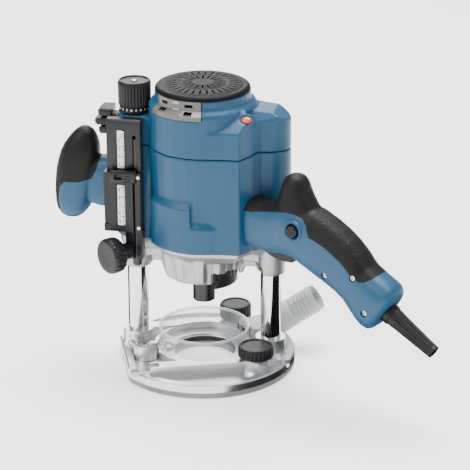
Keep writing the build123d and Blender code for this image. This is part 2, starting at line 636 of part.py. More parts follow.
with BuildPart() as brush_holders:
    for side in (-1, 1):
        slab(*[sorted((side * 17, side * 42)), (-7, 7), (COMMUTATOR_BOTTOM + 1, COMMUTATOR_TOP - 1)])
        slab(*[sorted((side * 16, side * 40)), (-5, 5), (COMMUTATOR_BOTTOM + 3, COMMUTATOR_TOP - 3)],
             mode=Mode.SUBTRACT)
finish(brush_holders, "brush_holders")

with BuildPart() as carbon_brushes:
    for side in (-1, 1):
        slab(*[sorted((side * 11, side * 31)), (-4.8, 4.8), (COMMUTATOR_BOTTOM + 3.2, COMMUTATOR_TOP - 3.2)])
    rod((0, 0, COMMUTATOR_BOTTOM), UP, COMMUTATOR_R + 0.1, 20, mode=Mode.SUBTRACT)
finish(carbon_brushes, "carbon_brushes")

with BuildPart() as speed_module:
    slab((-20, 20), (34, 44), (220, 241))
finish(speed_module, "electronics_module")

# ---------------------------------------------------------------- depth stop and its rail
rail_x = (-88.0, -55.0)
with BuildPart() as depth_rail:
    slab(rail_x, (-30, GUIDE_BACK), (205.3, 257))
    rod((DEPTH_X, DEPTH_Y, 200), UP, DEPTH_ROD_R + 0.2, 42, mode=Mode.SUBTRACT)
    slab((DEPTH_X - 1.5, DEPTH_X + 1.5), (-40, DEPTH_Y), (200, 242), mode=Mode.SUBTRACT)
finish(depth_rail, "depth_rail")

CLAMP_DIR = Vector(-0.66, -0.75, 0).normalized()
CLAMP_Z = 125.0
GUIDE_SCREW_Z = (201.0, 149.5)
clamp_start = Vector(DEPTH_X, DEPTH_Y, CLAMP_Z)
with BuildPart() as depth_guide:
    slab((-91, -55), (GUIDE_FRONT, GUIDE_BACK), (145, 205))
    slab((-71, -54.5), (-30, GUIDE_BACK), (116, 146))
    rod(clamp_start, CLAMP_DIR, 8.0, 20)
    rod(clamp_start, CLAMP_DIR, 3.1, 30, mode=Mode.SUBTRACT)
    rod((DEPTH_X, DEPTH_Y, 100), UP, DEPTH_ROD_R + RUNNING, 120, mode=Mode.SUBTRACT)
    slab((DEPTH_X - 1.5, DEPTH_X + 1.5), (-40, DEPTH_Y), (100, 220), mode=Mode.SUBTRACT)
    slab((-79, -69), (-34, -32.2), (150, 194), mode=Mode.SUBTRACT)
    for z in GUIDE_SCREW_Z:
        rod((-57.2, GUIDE_FRONT - 1.0, z), (0, 1, 0), 1.7, 6.3, mode=Mode.SUBTRACT)
finish(depth_guide, "depth_guide")

with BuildPart() as depth_scales:
    slab((-77.2, -70.8), (-30.5, -30), (209, 246))
    slab((-77.2, -70.8), (-32.7, -32.2), (152, 192))
finish(depth_scales, "depth_scales")

with BuildPart() as guide_screws:
    for z in GUIDE_SCREW_Z:
        rod((-57.2, GUIDE_FRONT - 0.6, z), (0, 1, 0), 1.6, 5.2)
finish(guide_screws, "guide_screws")

with BuildPart() as depth_rod:
    turned([(0, 108), (DEPTH_ROD_R - 1, 108), (DEPTH_ROD_R, 109), (DEPTH_ROD_R, 238), (0, 238)],
           DEPTH_X, DEPTH_Y)
finish(depth_rod, "depth_rod")

with BuildPart() as index_slider:
    slab((-84, -58.8), (-36.5, GUIDE_FRONT - 0.4), (196, 208))
finish(index_slider, "index_slider")

# The slider's shoe reaches through the guide's slot to the rod.
with BuildPart() as index_shoe:
    slab((DEPTH_X - 1.2, DEPTH_X + 1.2), (GUIDE_FRONT - 0.4, DEPTH_Y - DEPTH_ROD_R - 0.1), (196, 208))
finish(index_shoe, "index_shoe")

clamp_plane = Plane(origin=clamp_start + CLAMP_DIR * 23, z_dir=CLAMP_DIR)
with BuildPart() as clamp_knob:
    fluted(clamp_plane, 17.5, 14.0, 20, 1.6)
    rod(clamp_start + CLAMP_DIR * 20.4, CLAMP_DIR, 8.0, 3)
    rod(clamp_start + CLAMP_DIR * 5.2, CLAMP_DIR, 3.0, 18)
finish(clamp_knob, "depth_clamp_knob")

# Wing lever on the left tower that locks the head at any height.
LOCK_Y = 4.0
LOCK_Z = 247.0
LOCK_HUB = -COLUMN_X - LEFT_TOWER_R - 1.2
with BuildPart() as lock_lever:
    rod((LOCK_HUB, LOCK_Y, LOCK_Z), (-1, 0, 0), 8.0, 14)
    for z_step, reach in ((9.5, 14.0), (0.0, 18.0), (-9.5, 14.0)):
        slab((LOCK_HUB - 14 - reach / 3, LOCK_HUB - 4), (LOCK_Y - 12, LOCK_Y + 12),
             (LOCK_Z + z_step - 3, LOCK_Z + z_step + 3))
    rod((-78.0, LOCK_Y, LOCK_Z), (-1, 0, 0), 3.0, -LOCK_HUB - 78.0 + 1)
finish(lock_lever, "plunge_lock_lever")

# Fine-depth knob on top of the left tower, over a loose scale ring.
SCALE_BOTTOM = LEFT_TOWER_TOP + 0.3
SCALE_TOP = 264.0
with BuildPart() as scale_ring:
    ring(PIVOT_R + 2 + RUNNING, 15.2, SCALE_BOTTOM, SCALE_TOP, -COLUMN_X)
finish(scale_ring, "depth_scale_ring")

with BuildPart() as fine_knob:
    fluted(Plane(origin=(-COLUMN_X, 0, SCALE_TOP + 0.3)), FINE_KNOB_R, 288.6 - SCALE_TOP - 0.3, 30, 1.0)
    with Locations((-COLUMN_X, 0, 288.6)):
        Hole(12.5, depth=1.2)
    ring(0, PIVOT_R + 2, SCALE_BOTTOM, SCALE_TOP + 1, -COLUMN_X)
    rod((-COLUMN_X, 0, SCALE_BOTTOM - 1), UP, PIVOT_R, 16, mode=Mode.SUBTRACT)
finish(fine_knob, "fine_depth_knob")

with BuildPart() as fine_screw:
    rod((-COLUMN_X, 0, 252.3), UP, PIVOT_R, 20)
finish(fine_screw, "fine_depth_screw")

# ---------------------------------------------------------------- left handle
SIDE = Plane((0, 0, 0), x_dir=(1, 0, 0), z_dir=(0, -1, 0))
PALM = [(-118, 239), (-131, 232), (-140.5, 214), (-145.3, 194), (-146.8, 172), (-146, 159), (-139.5, 148),
        (-130.6, 145.6), (-121, 148), (-115, 155), (-108.5, 172), (-106, 195), (-103, 216), (-108, 234)]
palm = outline_on(SIDE, PALM)
neck = polygon_on(SIDE, [(-70, 159), (-70, 211), (-98, 211), (-112, 205), (-112, 165), (-98, 159)])
# the soft grip covers the top of the palm and runs down its outer side
grip_area = polygon_on(SIDE, [(-160, 140), (-160, 250), (-90, 250), (-90, 212), (-99.6, 212), (-104, 190),
                              (-134, 187), (-139.5, 180), (-141, 165), (-138, 140)])
with BuildPart() as left_handle:
    extrude(palm, amount=LEFT_HANDLE_HALF, both=True)
    extrude(neck, amount=LEFT_HANDLE_HALF - 1, both=True)
    extrude(grip_area, amount=LEFT_HANDLE_HALF + 1, both=True, mode=Mode.SUBTRACT)
    extrude(housing_plan(HOUSING_BOTTOM, SKIRT_GROW + 0.1), amount=LEDGE_Z + 0.1 - HOUSING_BOTTOM,
            mode=Mode.SUBTRACT)
    extrude(housing_plan(LEDGE_Z, 0.1), amount=60, mode=Mode.SUBTRACT)
    for z in LEFT_BOLT_Z:
        rod((-COLUMN_X, 0, z), (-1, 0, 0), LEFT_BOLT_R + 0.1, 40, mode=Mode.SUBTRACT)
finish(left_handle, "left_handle")

with BuildPart() as left_grip:
    extrude(palm, amount=LEFT_HANDLE_HALF, both=True)
    extrude(grip_area, amount=LEFT_HANDLE_HALF + 1, both=True, mode=Mode.INTERSECT)
finish(left_grip, "left_grip")


# ---------------------------------------------------------------- switch handle
aim = radians(HANDLE_ANGLE)
OUT = Vector(cos(aim), sin(aim), 0)
ACROSS = Vector(sin(aim), -cos(aim), 0)         # towards the front face of the handle
HANDLE = Plane((0, 0, 0), x_dir=OUT, z_dir=ACROSS)


def on_handle(reach, height, across=0.0):
    """A point given in the switch handle's own plane."""
    return OUT * reach + ACROSS * across + Vector(0, 0, height)


BOOT_START = on_handle(211.5, 111.0)
BOOT_END = on_handle(265.0, 82.0)
BOOT_DIR = (BOOT_END - BOOT_START).normalized()
BOOT_LENGTH = (BOOT_END - BOOT_START).length
RIGHT_SCREW_PLACES = ((154, 135), (200, 110), (186, 141))
HANDLE_OUTLINE = [(64, 136), (64, 200), (84, 203), (97, 214), (109, 221), (119, 217), (123, 207), (131, 197),
                  (153, 185), (174, 173), (190, 156), (207, 145), (222, 136), (224, 128), (216, 110),
                  (206, 95), (198, 90), (189, 92), (174, 110), (157, 120), (135, 130), (116, 139), (98, 141),
                  (80, 139)]
GRIP_AREA = [(60, 178), (86, 178), (92, 186), (106, 188), (120, 184), (126, 176), (140, 167), (165, 152),
             (182, 140), (196, 138), (206, 147), (230, 170), (230, 240), (60, 240)]
TRIGGER_AREA = [(70, 158), (70, 130), (112, 130), (114, 146), (100, 158)]

with BuildPart() as handle_body:
    extrude(polygon_on(HANDLE, HANDLE_OUTLINE), amount=HANDLE_HALF, both=True)
    fillet(handle_body.edges().filter_by(lambda e: abs(e.tangent_at(0).dot(ACROSS)) > 0.99), 1.5)
    with BuildSketch(HANDLE):
        offset(polygon_on(HANDLE, HANDLE_OUTLINE), amount=-WALL)
    extrude(amount=HANDLE_HALF - WALL, both=True, mode=Mode.SUBTRACT)
    # root follows the housing's facet with a small gap
    extrude(housing_plan(HOUSING_BOTTOM - 10, SKIRT_GROW + 0.2), amount=120, mode=Mode.SUBTRACT)
    rod(BOOT_START, BOOT_DIR, 8.8, 20, mode=Mode.SUBTRACT)
    for place in RIGHT_SCREW_PLACES:
        rod(on_handle(*place, 1.9 - HANDLE_HALF), ACROSS, 1.9, 2 * HANDLE_HALF, mode=Mode.SUBTRACT)

with BuildPart() as right_grip:
    add(handle_body.part)
    extrude(polygon_on(HANDLE, GRIP_AREA), amount=HANDLE_HALF + 1, both=True, mode=Mode.INTERSECT)
finish(right_grip, "right_grip")

LOCK_BUTTON = (119.4, 172.1)
LOCK_BUTTON_R = 6.0
for half, keep_side in (("front", Keep.TOP), ("back", Keep.BOTTOM)):
    with BuildPart() as shell:
        add(handle_body.part)
        extrude(polygon_on(HANDLE, GRIP_AREA), amount=HANDLE_HALF + 1, both=True, mode=Mode.SUBTRACT)
        extrude(polygon_on(HANDLE, TRIGGER_AREA), amount=8.5, both=True, mode=Mode.SUBTRACT)
        rod(on_handle(*LOCK_BUTTON, -30), ACROSS, LOCK_BUTTON_R + 0.3, 60, mode=Mode.SUBTRACT)
        split(bisect_by=HANDLE, keep=keep_side)
    finish(shell, f"right_handle_{half}")

with BuildPart() as trigger:
    extrude(polygon_on(HANDLE, [(72, 156), (72, 146), (88, 134), (110, 133.5), (112, 140), (106, 150),
                                (92, 156)]), amount=7.5, both=True)
    rod(on_handle(78, 151, -12), ACROSS, 2.0 + RUNNING, 24, mode=Mode.SUBTRACT)
finish(trigger, "trigger")

with BuildPart() as trigger_pin:
    rod(on_handle(78, 151, -12), ACROSS, 2.0, 24)
finish(trigger_pin, "trigger_pin")

with BuildPart() as lock_button:
    rod(on_handle(*LOCK_BUTTON, 10.0), ACROSS, LOCK_BUTTON_R, 12)
finish(lock_button, "lock_on_button")

with BuildPart() as switch_module:
    extrude(polygon_on(HANDLE, [(96, 160), (112, 151), (150, 134), (160, 150), (124, 165)]),
            amount=8, both=True)
    rod(on_handle(*LOCK_BUTTON, -30), ACROSS, LOCK_BUTTON_R + 1, 60, mode=Mode.SUBTRACT)
finish(switch_module, "switch_module")

with BuildPart() as handle_screws:
    for place in RIGHT_SCREW_PLACES:
        rod(on_handle(*place, 5 - HANDLE_HALF), ACROSS, 1.8, 2 * HANDLE_HALF - 11)
    for z in LEFT_BOLT_Z:
        rod((-80.5, 0, z), (-1, 0, 0), LEFT_BOLT_R, 24)
finish(handle_screws, "handle_screws")

with BuildPart() as cord_boot:
    with BuildSketch(Plane(origin=BOOT_START, x_dir=ACROSS, z_dir=ACROSS.cross(BOOT_DIR))) as boot_profile:
        with BuildLine():
            Polyline((0, 0), (8.6, 0), (8.6, 4), (10.0, 4), (10.0, 10), (8.8, 10), (6.4, BOOT_LENGTH),
                     (0, BOOT_LENGTH), close=True)
        make_face()
    revolve(boot_profile.sketch, axis=Axis(BOOT_START, BOOT_DIR))
    rod(BOOT_END, BOOT_DIR * -1, 4.0, 40, mode=Mode.SUBTRACT)
finish(cord_boot, "cord_boot")
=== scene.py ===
from math import atan2, cos, degrees, hypot, pi, radians, sin

import bmesh
import bpy
from mathutils import Matrix, Vector


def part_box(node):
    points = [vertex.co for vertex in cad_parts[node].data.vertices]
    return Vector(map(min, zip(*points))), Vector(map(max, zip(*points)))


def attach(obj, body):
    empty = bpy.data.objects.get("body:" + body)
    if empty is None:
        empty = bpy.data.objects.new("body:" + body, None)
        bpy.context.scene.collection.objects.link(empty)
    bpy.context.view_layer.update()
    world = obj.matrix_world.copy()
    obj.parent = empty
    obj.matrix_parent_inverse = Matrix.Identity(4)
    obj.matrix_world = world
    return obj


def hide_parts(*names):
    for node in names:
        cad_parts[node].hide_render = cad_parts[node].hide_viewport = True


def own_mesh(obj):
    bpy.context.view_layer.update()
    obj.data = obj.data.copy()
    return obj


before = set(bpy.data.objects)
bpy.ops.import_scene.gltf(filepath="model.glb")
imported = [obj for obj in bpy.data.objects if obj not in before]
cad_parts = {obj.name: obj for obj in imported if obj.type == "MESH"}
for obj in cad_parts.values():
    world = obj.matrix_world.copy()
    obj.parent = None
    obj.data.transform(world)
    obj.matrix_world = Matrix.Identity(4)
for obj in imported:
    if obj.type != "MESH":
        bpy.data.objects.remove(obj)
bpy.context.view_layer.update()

MM = 0.001                      # every size below is in millimetres

# ---------------------------------------------------------------- studio
# A long lens looks down on the tool from the front, a little to its left.
# Big soft boxes stand round a pale floor, with dark cards low on the floor
# beside the tool for the chrome to mirror.
TARGET = Vector((22.0, 50.6, 115.1)) * MM
bpy.ops.object.camera_add(location=Vector((344.5, -1778.1, 857.9)) * MM)
camera = bpy.context.object
camera.rotation_euler = (TARGET - camera.location).to_track_quat("-Z", "Y").to_euler()
camera.data.lens = 153.2
camera.data.sensor_width = 36.0
camera.data.clip_end = 50.0
bpy.context.scene.camera = camera


def soft_box(name, place, size, power):
    """One square soft box aimed at the middle of the tool."""
    bpy.ops.object.light_add(type="AREA", location=Vector(place))
    light = bpy.context.object
    light.name = name
    light.data.shape = "RECTANGLE"
    light.data.size, light.data.size_y = size
    light.data.energy = power
    light.rotation_euler = (Vector((0, 0, 0.15)) - light.location).to_track_quat("-Z", "Y").to_euler()
    return light


soft_box("key_box", (-1.3, -1.5, 1.9), (1.3, 1.3), 44)
soft_box("top_box", (0.1, 0.5, 2.3), (1.8, 1.4), 120)
soft_box("side_box", (1.9, -0.7, 1.2), (0.8, 1.4), 9)
soft_box("back_box", (-0.7, 2.0, 1.3), (1.6, 1.0), 26)

world = bpy.data.worlds.new("studio_air")
world.use_nodes = True
world.node_tree.nodes["Background"].inputs["Color"].default_value = (0.93, 0.95, 1.0, 1)
world.node_tree.nodes["Background"].inputs["Strength"].default_value = 0.40
bpy.context.scene.world = world

bpy.ops.object.select_all(action="DESELECT")
bpy.ops.mesh.primitive_circle_add(vertices=96, radius=9.0, fill_type="NGON", location=(0, 0, 0))
floor = bpy.context.object
floor.name = "floor"
# only polished metal mirrors these cards
CARD_NEAR, CARD_FAR = 0.045, 0.70
for name, foot, start, end in (("card_right", 0.0665, -40, 17), ("card_back", 0.0665, 110, 170),
                               ("card_left", -0.0665, -40, 17), ("card_far", -0.0665, 110, 170)):
    bpy.ops.object.select_all(action="DESELECT")
    bpy.ops.mesh.primitive_circle_add(vertices=24, radius=CARD_NEAR, fill_type="NGON", location=(0, 0, 0))
    card = bpy.context.object
    card.name = name
    for i, vertex in enumerate(card.data.vertices):
        turn = radians(start + (end - start) * (i if i < 12 else 23 - i) / 11)
        reach = CARD_NEAR if i < 12 else CARD_FAR
        vertex.co = Vector((foot + reach * cos(turn), reach * sin(turn), 0.0006))
    card.visible_camera = card.visible_diffuse = card.visible_shadow = card.visible_transmission = False


class Value:
    """A number or colour that varies over a surface, used in plain arithmetic."""

    def __init__(self, finish, socket):
        self.finish, self.socket = finish, socket

    def _math(self, operation, first, second):
        return self.finish.node("ShaderNodeMath", {"operation": operation}, {0: first, 1: second})

    def __add__(self, other):
        return self._math("ADD", self, other)

    def __sub__(self, other):
        return self._math("SUBTRACT", self, other)

    def __mul__(self, other):
        return self._math("MULTIPLY", self, other)

    def __rsub__(self, other):
        return self._math("SUBTRACT", other, self)

    def __pow__(self, other):
        return self._math("POWER", self, other)

    __radd__ = __add__
    __rmul__ = __mul__


class Finish:
    """One material: a surface shader and the nodes that vary it."""

    def __init__(self, name, colour, roughness, metallic=0.0, **fixed):
        self.material = bpy.data.materials.new(name)
        self.material.use_nodes = True
        self.tree = self.material.node_tree
        self.surface = self.tree.nodes["Principled BSDF"]
        self.surface.inputs["Base Color"].default_value = (*colour, 1)
        self.surface.inputs["Roughness"].default_value = roughness
        self.surface.inputs["Metallic"].default_value = metallic
        for socket, value in fixed.items():
            self.surface.inputs[socket.replace("_", " ")].default_value = value
        self.place = Value(self, self.tree.nodes.new("ShaderNodeTexCoord").outputs["Object"])

    def node(self, kind, settings=None, inputs=None, output=0):
        """Add any node: settings first, then the values or links of its sockets."""
        made = self.tree.nodes.new(kind)
        for key, value in (settings or {}).items():
            if key == "stops":
                for element, (position, colour) in zip(made.color_ramp.elements, value):
                    element.position, element.color = position, colour
            else:
                setattr(made, key, value)
        for key, value in (inputs or {}).items():
            if isinstance(value, Value):
                self.tree.links.new(value.socket, made.inputs[key])
            else:
                made.inputs[key].default_value = value
        return Value(self, made.outputs[output])

    def feed(self, socket, value):
        """Link a value into one of the surface's own sockets."""
        self.tree.links.new(value.socket, self.surface.inputs[socket])

    def grain(self, scale, detail=2.0, stretch=(1, 1, 1)):
        """Noise in the piece's own space; scale is in cycles per metre."""
        spot = self.place
        if stretch != (1, 1, 1):
            spot = self.node("ShaderNodeMapping", {}, {"Vector": self.place, "Scale": stretch})
        return self.node("ShaderNodeTexNoise", {}, {"Vector": spot, "Scale": scale, "Detail": detail})

    def mixed(self, factor, first, second):
        """A colour between two others."""
        return self.node("ShaderNodeMix", {"data_type": "RGBA"}, {0: factor, 6: (*first, 1), 7: (*second, 1)}, 2)

    def bump(self, height, depth):
        """Relief of a depth in millimetres."""
        self.feed("Normal", self.node("ShaderNodeBump", {}, {"Height": height, "Distance": depth * MM,
                                                             "Strength": 1.0}))


def moulded(name, colour, roughness, grain=2600.0, depth=0.03, change=0.12, **fixed):
    """Moulded plastic: spark-eroded grain, faint flow marks and handling shine."""
    finish = Finish(name, colour, roughness, **fixed)
    flow = finish.grain(45.0, 3.0)
    darker = tuple(c * (1 - change) for c in colour)
    lighter = tuple(c * (1 + change) for c in colour)
    finish.feed("Base Color", finish.mixed(flow, darker, lighter))
    finish.feed("Roughness", finish.grain(120.0, 4.0) * 0.16 + (roughness - 0.08))
    finish.bump(finish.grain(grain, 2.0), depth)
    return finish.material


def metal(name, colour, roughness, grain=900.0, depth=0.02, change=0.08, spread=0.12, stretch=(1, 1, 1), **fixed):
    """Bare metal with its tooling or casting texture."""
    finish = Finish(name, colour, roughness, 1.0, **fixed)
    stain = finish.grain(60.0, 4.0)
    darker = tuple(c * (1 - change) for c in colour)
    lighter = tuple(min(1.0, c * (1 + change)) for c in colour)
    finish.feed("Base Color", finish.mixed(stain, darker, lighter))
    texture = finish.grain(grain, 3.0, stretch)
    finish.feed("Roughness", texture * spread + (roughness - spread / 2))
    finish.bump(texture, depth)
    return finish.material


floor.data.materials.append(moulded("studio_paper", (0.90, 0.90, 0.905), 0.85, grain=400.0, change=0.01,
                                    Emission_Color=(1, 1, 1, 1), Emission_Strength=0.9, Specular_IOR_Level=0.1))
card_black = moulded("card_black", (0.004, 0.004, 0.004), 0.9, grain=400.0, Specular_IOR_Level=0.0)
for name in ("card_right", "card_back", "card_left", "card_far"):
    bpy.data.objects[name].data.materials.append(card_black)


# ---------------------------------------------------------------- sole
# The sliding sole is a moulded dark plate, screwed under the casting. Two small
# finger notches break its front edge.
BASE_TURN = radians(19.0)
BASE_R = 90.0
BASE_FLAT = -80.0
SOLE_TOP = 6.0
OPENING_R = 31.0
UP = Vector((0, 0, 1))


def on_base(x, y, z=0.0):
    """A point of the base's own turned plan, in the tool's frame."""
    return Vector((x * cos(BASE_TURN) - y * sin(BASE_TURN), x * sin(BASE_TURN) + y * cos(BASE_TURN), z))


def drawn(name, points):
    """Start a piece as one face through points, and leave it open for shaping."""
    bpy.ops.object.select_all(action="DESELECT")
    bpy.ops.mesh.primitive_circle_add(vertices=len(points), radius=1.0, fill_type="NGON")
    piece = bpy.context.object
    piece.name = name
    for vertex, point in zip(piece.data.vertices, points):
        vertex.co = Vector(point) * MM
    bpy.ops.object.mode_set(mode="EDIT")
    bpy.ops.mesh.select_all(action="SELECT")
    return piece


def pull(offset):
    """Extrude whatever is selected."""
    bpy.ops.mesh.extrude_region_move(TRANSFORM_OT_translate={"value": Vector(offset) * MM})


def closed(piece):
    """Merge the seams, turn every face outwards and leave edit mode."""
    bpy.ops.mesh.select_all(action="SELECT")
    bpy.ops.mesh.remove_doubles(threshold=0.002 * MM)
    bpy.ops.mesh.normals_make_consistent(inside=False)
    bpy.ops.object.mode_set(mode="OBJECT")
    return piece


def slab(name, points, depth):
    """A flat outline pulled to a thickness."""
    piece = drawn(name, points)
    pull(depth)
    return closed(piece)


def block(name, low, high):
    """A square-edged bar between two corners."""
    (x0, y0, z0), (x1, y1, z1) = low, high
    return slab(name, [(x0, y0, z0), (x1, y0, z0), (x1, y1, z0), (x0, y1, z0)], (0, 0, z1 - z0))


def stacked(name, rings):
    """A solid drawn through rings of points, each pulled from the last."""
    piece = drawn(name, rings[0])
    last = [Vector(p) * MM for p in rings[0]]
    for ring in rings[1:]:
        pull((0, 0, 0))
        fresh = [Vector(p) * MM for p in ring]
        for vertex in bmesh.from_edit_mesh(piece.data).verts:
            if vertex.select:
                vertex.co = fresh[min(range(len(last)), key=lambda i: (last[i] - vertex.co).length_squared)]
        last = fresh
    bmesh.update_edit_mesh(piece.data)
    return closed(piece)


def turned(name, profile, centre=(0, 0, 0), axis=UP, steps=72):
    """A lathe piece: its half section drawn point by point, then spun."""
    axis = Vector(axis).normalized()
    side = axis.orthogonal().normalized()
    points = [(Vector(centre) + axis * height + side * radius) * MM for radius, height in profile]
    bpy.ops.object.select_all(action="DESELECT")
    bpy.ops.mesh.primitive_plane_add(size=MM)
    piece = bpy.context.object
    piece.name = name
    bpy.ops.object.mode_set(mode="EDIT")
    bpy.ops.mesh.select_all(action="SELECT")
    bpy.ops.mesh.merge(type="CENTER")
    bpy.ops.transform.translate(value=points[0])
    for here, there in zip(points, points[1:]):
        bpy.ops.mesh.extrude_vertices_move(TRANSFORM_OT_translate={"value": there - here})
    bpy.ops.mesh.select_all(action="SELECT")
    bpy.ops.mesh.spin(steps=steps, angle=2 * pi, center=Vector(centre) * MM, axis=axis)
    return closed(piece)


def bar(name, start, direction, radius, length, steps=40):
    """A round bar from a point along a direction."""
    return turned(name, [(0, 0), (radius, 0), (radius, length), (0, length)], start, direction, steps)


def applied(piece, kind, **settings):
    """Add one modifier and apply it."""
    step = piece.modifiers.new(kind.lower(), kind)
    for key, value in settings.items():
        setattr(step, key, value)
    bpy.ops.object.select_all(action="DESELECT")
    piece.select_set(True)
    bpy.context.view_layer.objects.active = piece
    bpy.ops.object.modifier_apply(modifier=step.name)
    return piece


def joined(piece, *tools):
    """Weld other pieces on."""
    for tool in tools:
        applied(piece, "BOOLEAN", operation="UNION", object=tool, solver="EXACT")
        bpy.data.objects.remove(tool, do_unlink=True)
    return piece


def cut(piece, *tools):
    """Cut other pieces out."""
    for tool in tools:
        applied(piece, "BOOLEAN", operation="DIFFERENCE", object=tool, solver="EXACT")
        bpy.data.objects.remove(tool, do_unlink=True)
    return piece


def kept(piece, tool, keep_tool=False):
    """Keep only what is inside another piece."""
    applied(piece, "BOOLEAN", operation="INTERSECT", object=tool, solver="EXACT")
    if not keep_tool:
        bpy.data.objects.remove(tool, do_unlink=True)
    return piece


def smoothed(piece, angle=35.0):
    bpy.ops.object.select_all(action="DESELECT")
    piece.select_set(True)
    bpy.context.view_layer.objects.active = piece
    bpy.ops.object.shade_smooth_by_angle(angle=radians(angle))
    return piece


def eased(piece, width, segments=2, angle=32.0):
    """Round the sharp edges over."""
    applied(piece, "BEVEL", width=width * MM, segments=segments, limit_method="ANGLE", angle_limit=radians(angle))
    return smoothed(piece, 40.0)


def softened(piece, voxel, passes):
    """Melt every edge a little, as in a moulding or a casting."""
    applied(piece, "REMESH", mode="VOXEL", voxel_size=voxel * MM, use_smooth_shade=True)
    return applied(piece, "SMOOTH", factor=0.5, iterations=passes)


def fitted(piece, body, material, slot, *nodes):
    """Give a finished piece its material and its body, and hide the CAD nodes it stands for."""
    piece.data.materials.clear()
    piece.data.materials.append(material)
    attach(piece, body)
    if nodes:
        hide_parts(*nodes)
    return piece


def painted(material, *names):
    """Give CAD pieces that keep their shape a better finish."""
    for name in names:
        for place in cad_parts[name].material_slots:
            place.material = material


def base_outline(z, inset=0.0, steps=110):
    """The base's round plan with its one flat side."""
    radius, flat = BASE_R - inset, BASE_FLAT + inset
    return [on_base(max(flat, radius * cos(2 * pi * i / steps)), radius * sin(2 * pi * i / steps), z)
            for i in range(steps)]


sole_grey = moulded("sole_grey", (0.20, 0.205, 0.215), 0.34, grain=900.0, depth=0.02, Coat_Weight=0.25)
sole = stacked("sole", [base_outline(0.0, 1.2), base_outline(1.4), base_outline(SOLE_TOP - 0.3),
                        base_outline(SOLE_TOP, 0.4)])
cut(sole, bar("opening", (0, 0, -1), UP, OPENING_R, 10, 72))
for angle in (-114, -108, 40, 150):
    place = Vector((91.5 * cos(radians(angle)), 91.5 * sin(radians(angle)), -1))
    cut(sole, bar("notch", place, UP, 3.0, SOLE_TOP - 1.4, 20))
for angle in (5, 90, 185, 270):
    cut(sole, turned("countersink", [(0, -1), (5.4, -1), (5.4, 0.2), (2.6, 3.0), (2.6, 8), (0, 8)],
                     on_base(76 * cos(radians(angle)), 76 * sin(radians(angle))), steps=32))
fitted(smoothed(sole), "base", sole_grey, "sole_plastic", "sole_plate")

# ---------------------------------------------------------------- base casting
# A pressure die casting: round plate, raised machined rim, two ribs drilled for the
# guide rods, bosses for columns and knobs. Rim and rib tops are milled bright.
RIM_TOP = 14.0
WEB_TOP = 11.0
RIB_TOP = 20.0
ROD_Y = 48.0
ROD_Z = 12.0
COLUMN_X = 66.5
BOSS_TOP = 31.0
SEAT_R = 46.8
FRONT_KNOB = on_base(43.8, -ROD_Y)
BACK_KNOB = on_base(39.0, ROD_Y)
ALONG = on_base(1, 0).normalized()

casting_silver = metal("casting_silver", (0.80, 0.805, 0.81), 0.34, grain=1500.0, depth=0.02, change=0.05)
plate = slab("base_casting", base_outline(SOLE_TOP), (0, 0, WEB_TOP - SOLE_TOP))
rim = stacked("rim", [base_outline(SOLE_TOP), base_outline(RIM_TOP - 1.2), base_outline(RIM_TOP, 1.4)])
cut(rim, stacked("rim_inside", [base_outline(SOLE_TOP - 1, 8.6), base_outline(WEB_TOP, 8.4),
                                base_outline(RIM_TOP + 1, 7.0)]))
joined(plate, rim)
for side in (-1, 1):
    left, right = -62.0, 70.0
    y0, y1 = side * ROD_Y - 7, side * ROD_Y + 7
    rib = stacked("rib", [[on_base(left - 2, y0 - 1, SOLE_TOP), on_base(right + 3, y0 - 1, SOLE_TOP),
                           on_base(right + 3, y1 + 1, SOLE_TOP), on_base(left - 2, y1 + 1, SOLE_TOP)],
                          [on_base(left + 2, y0 + 0.6, RIB_TOP), on_base(right - 2, y0 + 0.6, RIB_TOP),
                           on_base(right - 2, y1 - 0.6, RIB_TOP), on_base(left + 2, y1 - 0.6, RIB_TOP)]])
    joined(plate, rib)
for spot in (FRONT_KNOB, BACK_KNOB):
    joined(plate, turned("knob_boss", [(0, SOLE_TOP), (15.5, SOLE_TOP), (13.6, 14), (13.0, 20), (0, 20)], spot))
# sloping web from the front rib up to the hood's seat
joined(plate, turned("seat_wall", [(SEAT_R - 0.2, SOLE_TOP), (SEAT_R + 4.2, SOLE_TOP), (SEAT_R + 2.6, 18.5),
                                   (SEAT_R - 0.2, 18.5), (SEAT_R - 0.2, SOLE_TOP)]))
cut(plate, bar("seat", (0, 0, 13.0), UP, SEAT_R, 40, 96))
for x in (-COLUMN_X, COLUMN_X):
    boss = turned("column_boss", [(0, SOLE_TOP), (19.5, SOLE_TOP), (16.4, 13.5), (15.2, 19), (14.8, BOSS_TOP),
                                  (0, BOSS_TOP)], (x, 0, 0))
    joined(plate, boss)
# split clamp and its pad on the left boss
joined(plate, block("clamp_pad", (-COLUMN_X - 7, -19.5, 12), (-COLUMN_X + 9, -10, 27)))
joined(plate, block("clamp_pad", (COLUMN_X - 8, 10, 12), (COLUMN_X + 8, 19, 27)))
seat_ring = turned("seat_ring", [(OPENING_R, SOLE_TOP), (SEAT_R, SOLE_TOP), (SEAT_R, 12.9), (33.5, 12.9),
                                 (33.5, 11.4), (OPENING_R, 11.4), (OPENING_R, SOLE_TOP)], steps=96)
cut(plate, bar("throat", (0, 0, 0), UP, 40.0, 60, 96))
joined(plate, seat_ring)
cut(plate, bar("rod_hole_front", on_base(-95, -ROD_Y, ROD_Z), ALONG, 4.1, 200),
    bar("rod_hole_back", on_base(-95, ROD_Y, ROD_Z), ALONG, 4.1, 200),
    bar("scoop_front", on_base(-95, -ROD_Y, RIB_TOP - 4.5), ALONG, 6.4, 44),
    bar("scoop_back", on_base(-95, ROD_Y, RIB_TOP - 4.5), ALONG, 6.4, 44))
for x in (-COLUMN_X, COLUMN_X):
    cut(plate, bar("column_bore", (x, 0, 8), UP, 10.1, 40, 48))
cut(plate, bar("turret_seat", (-53.5, -27.5, 11.2), UP, 13.2, 40, 48))
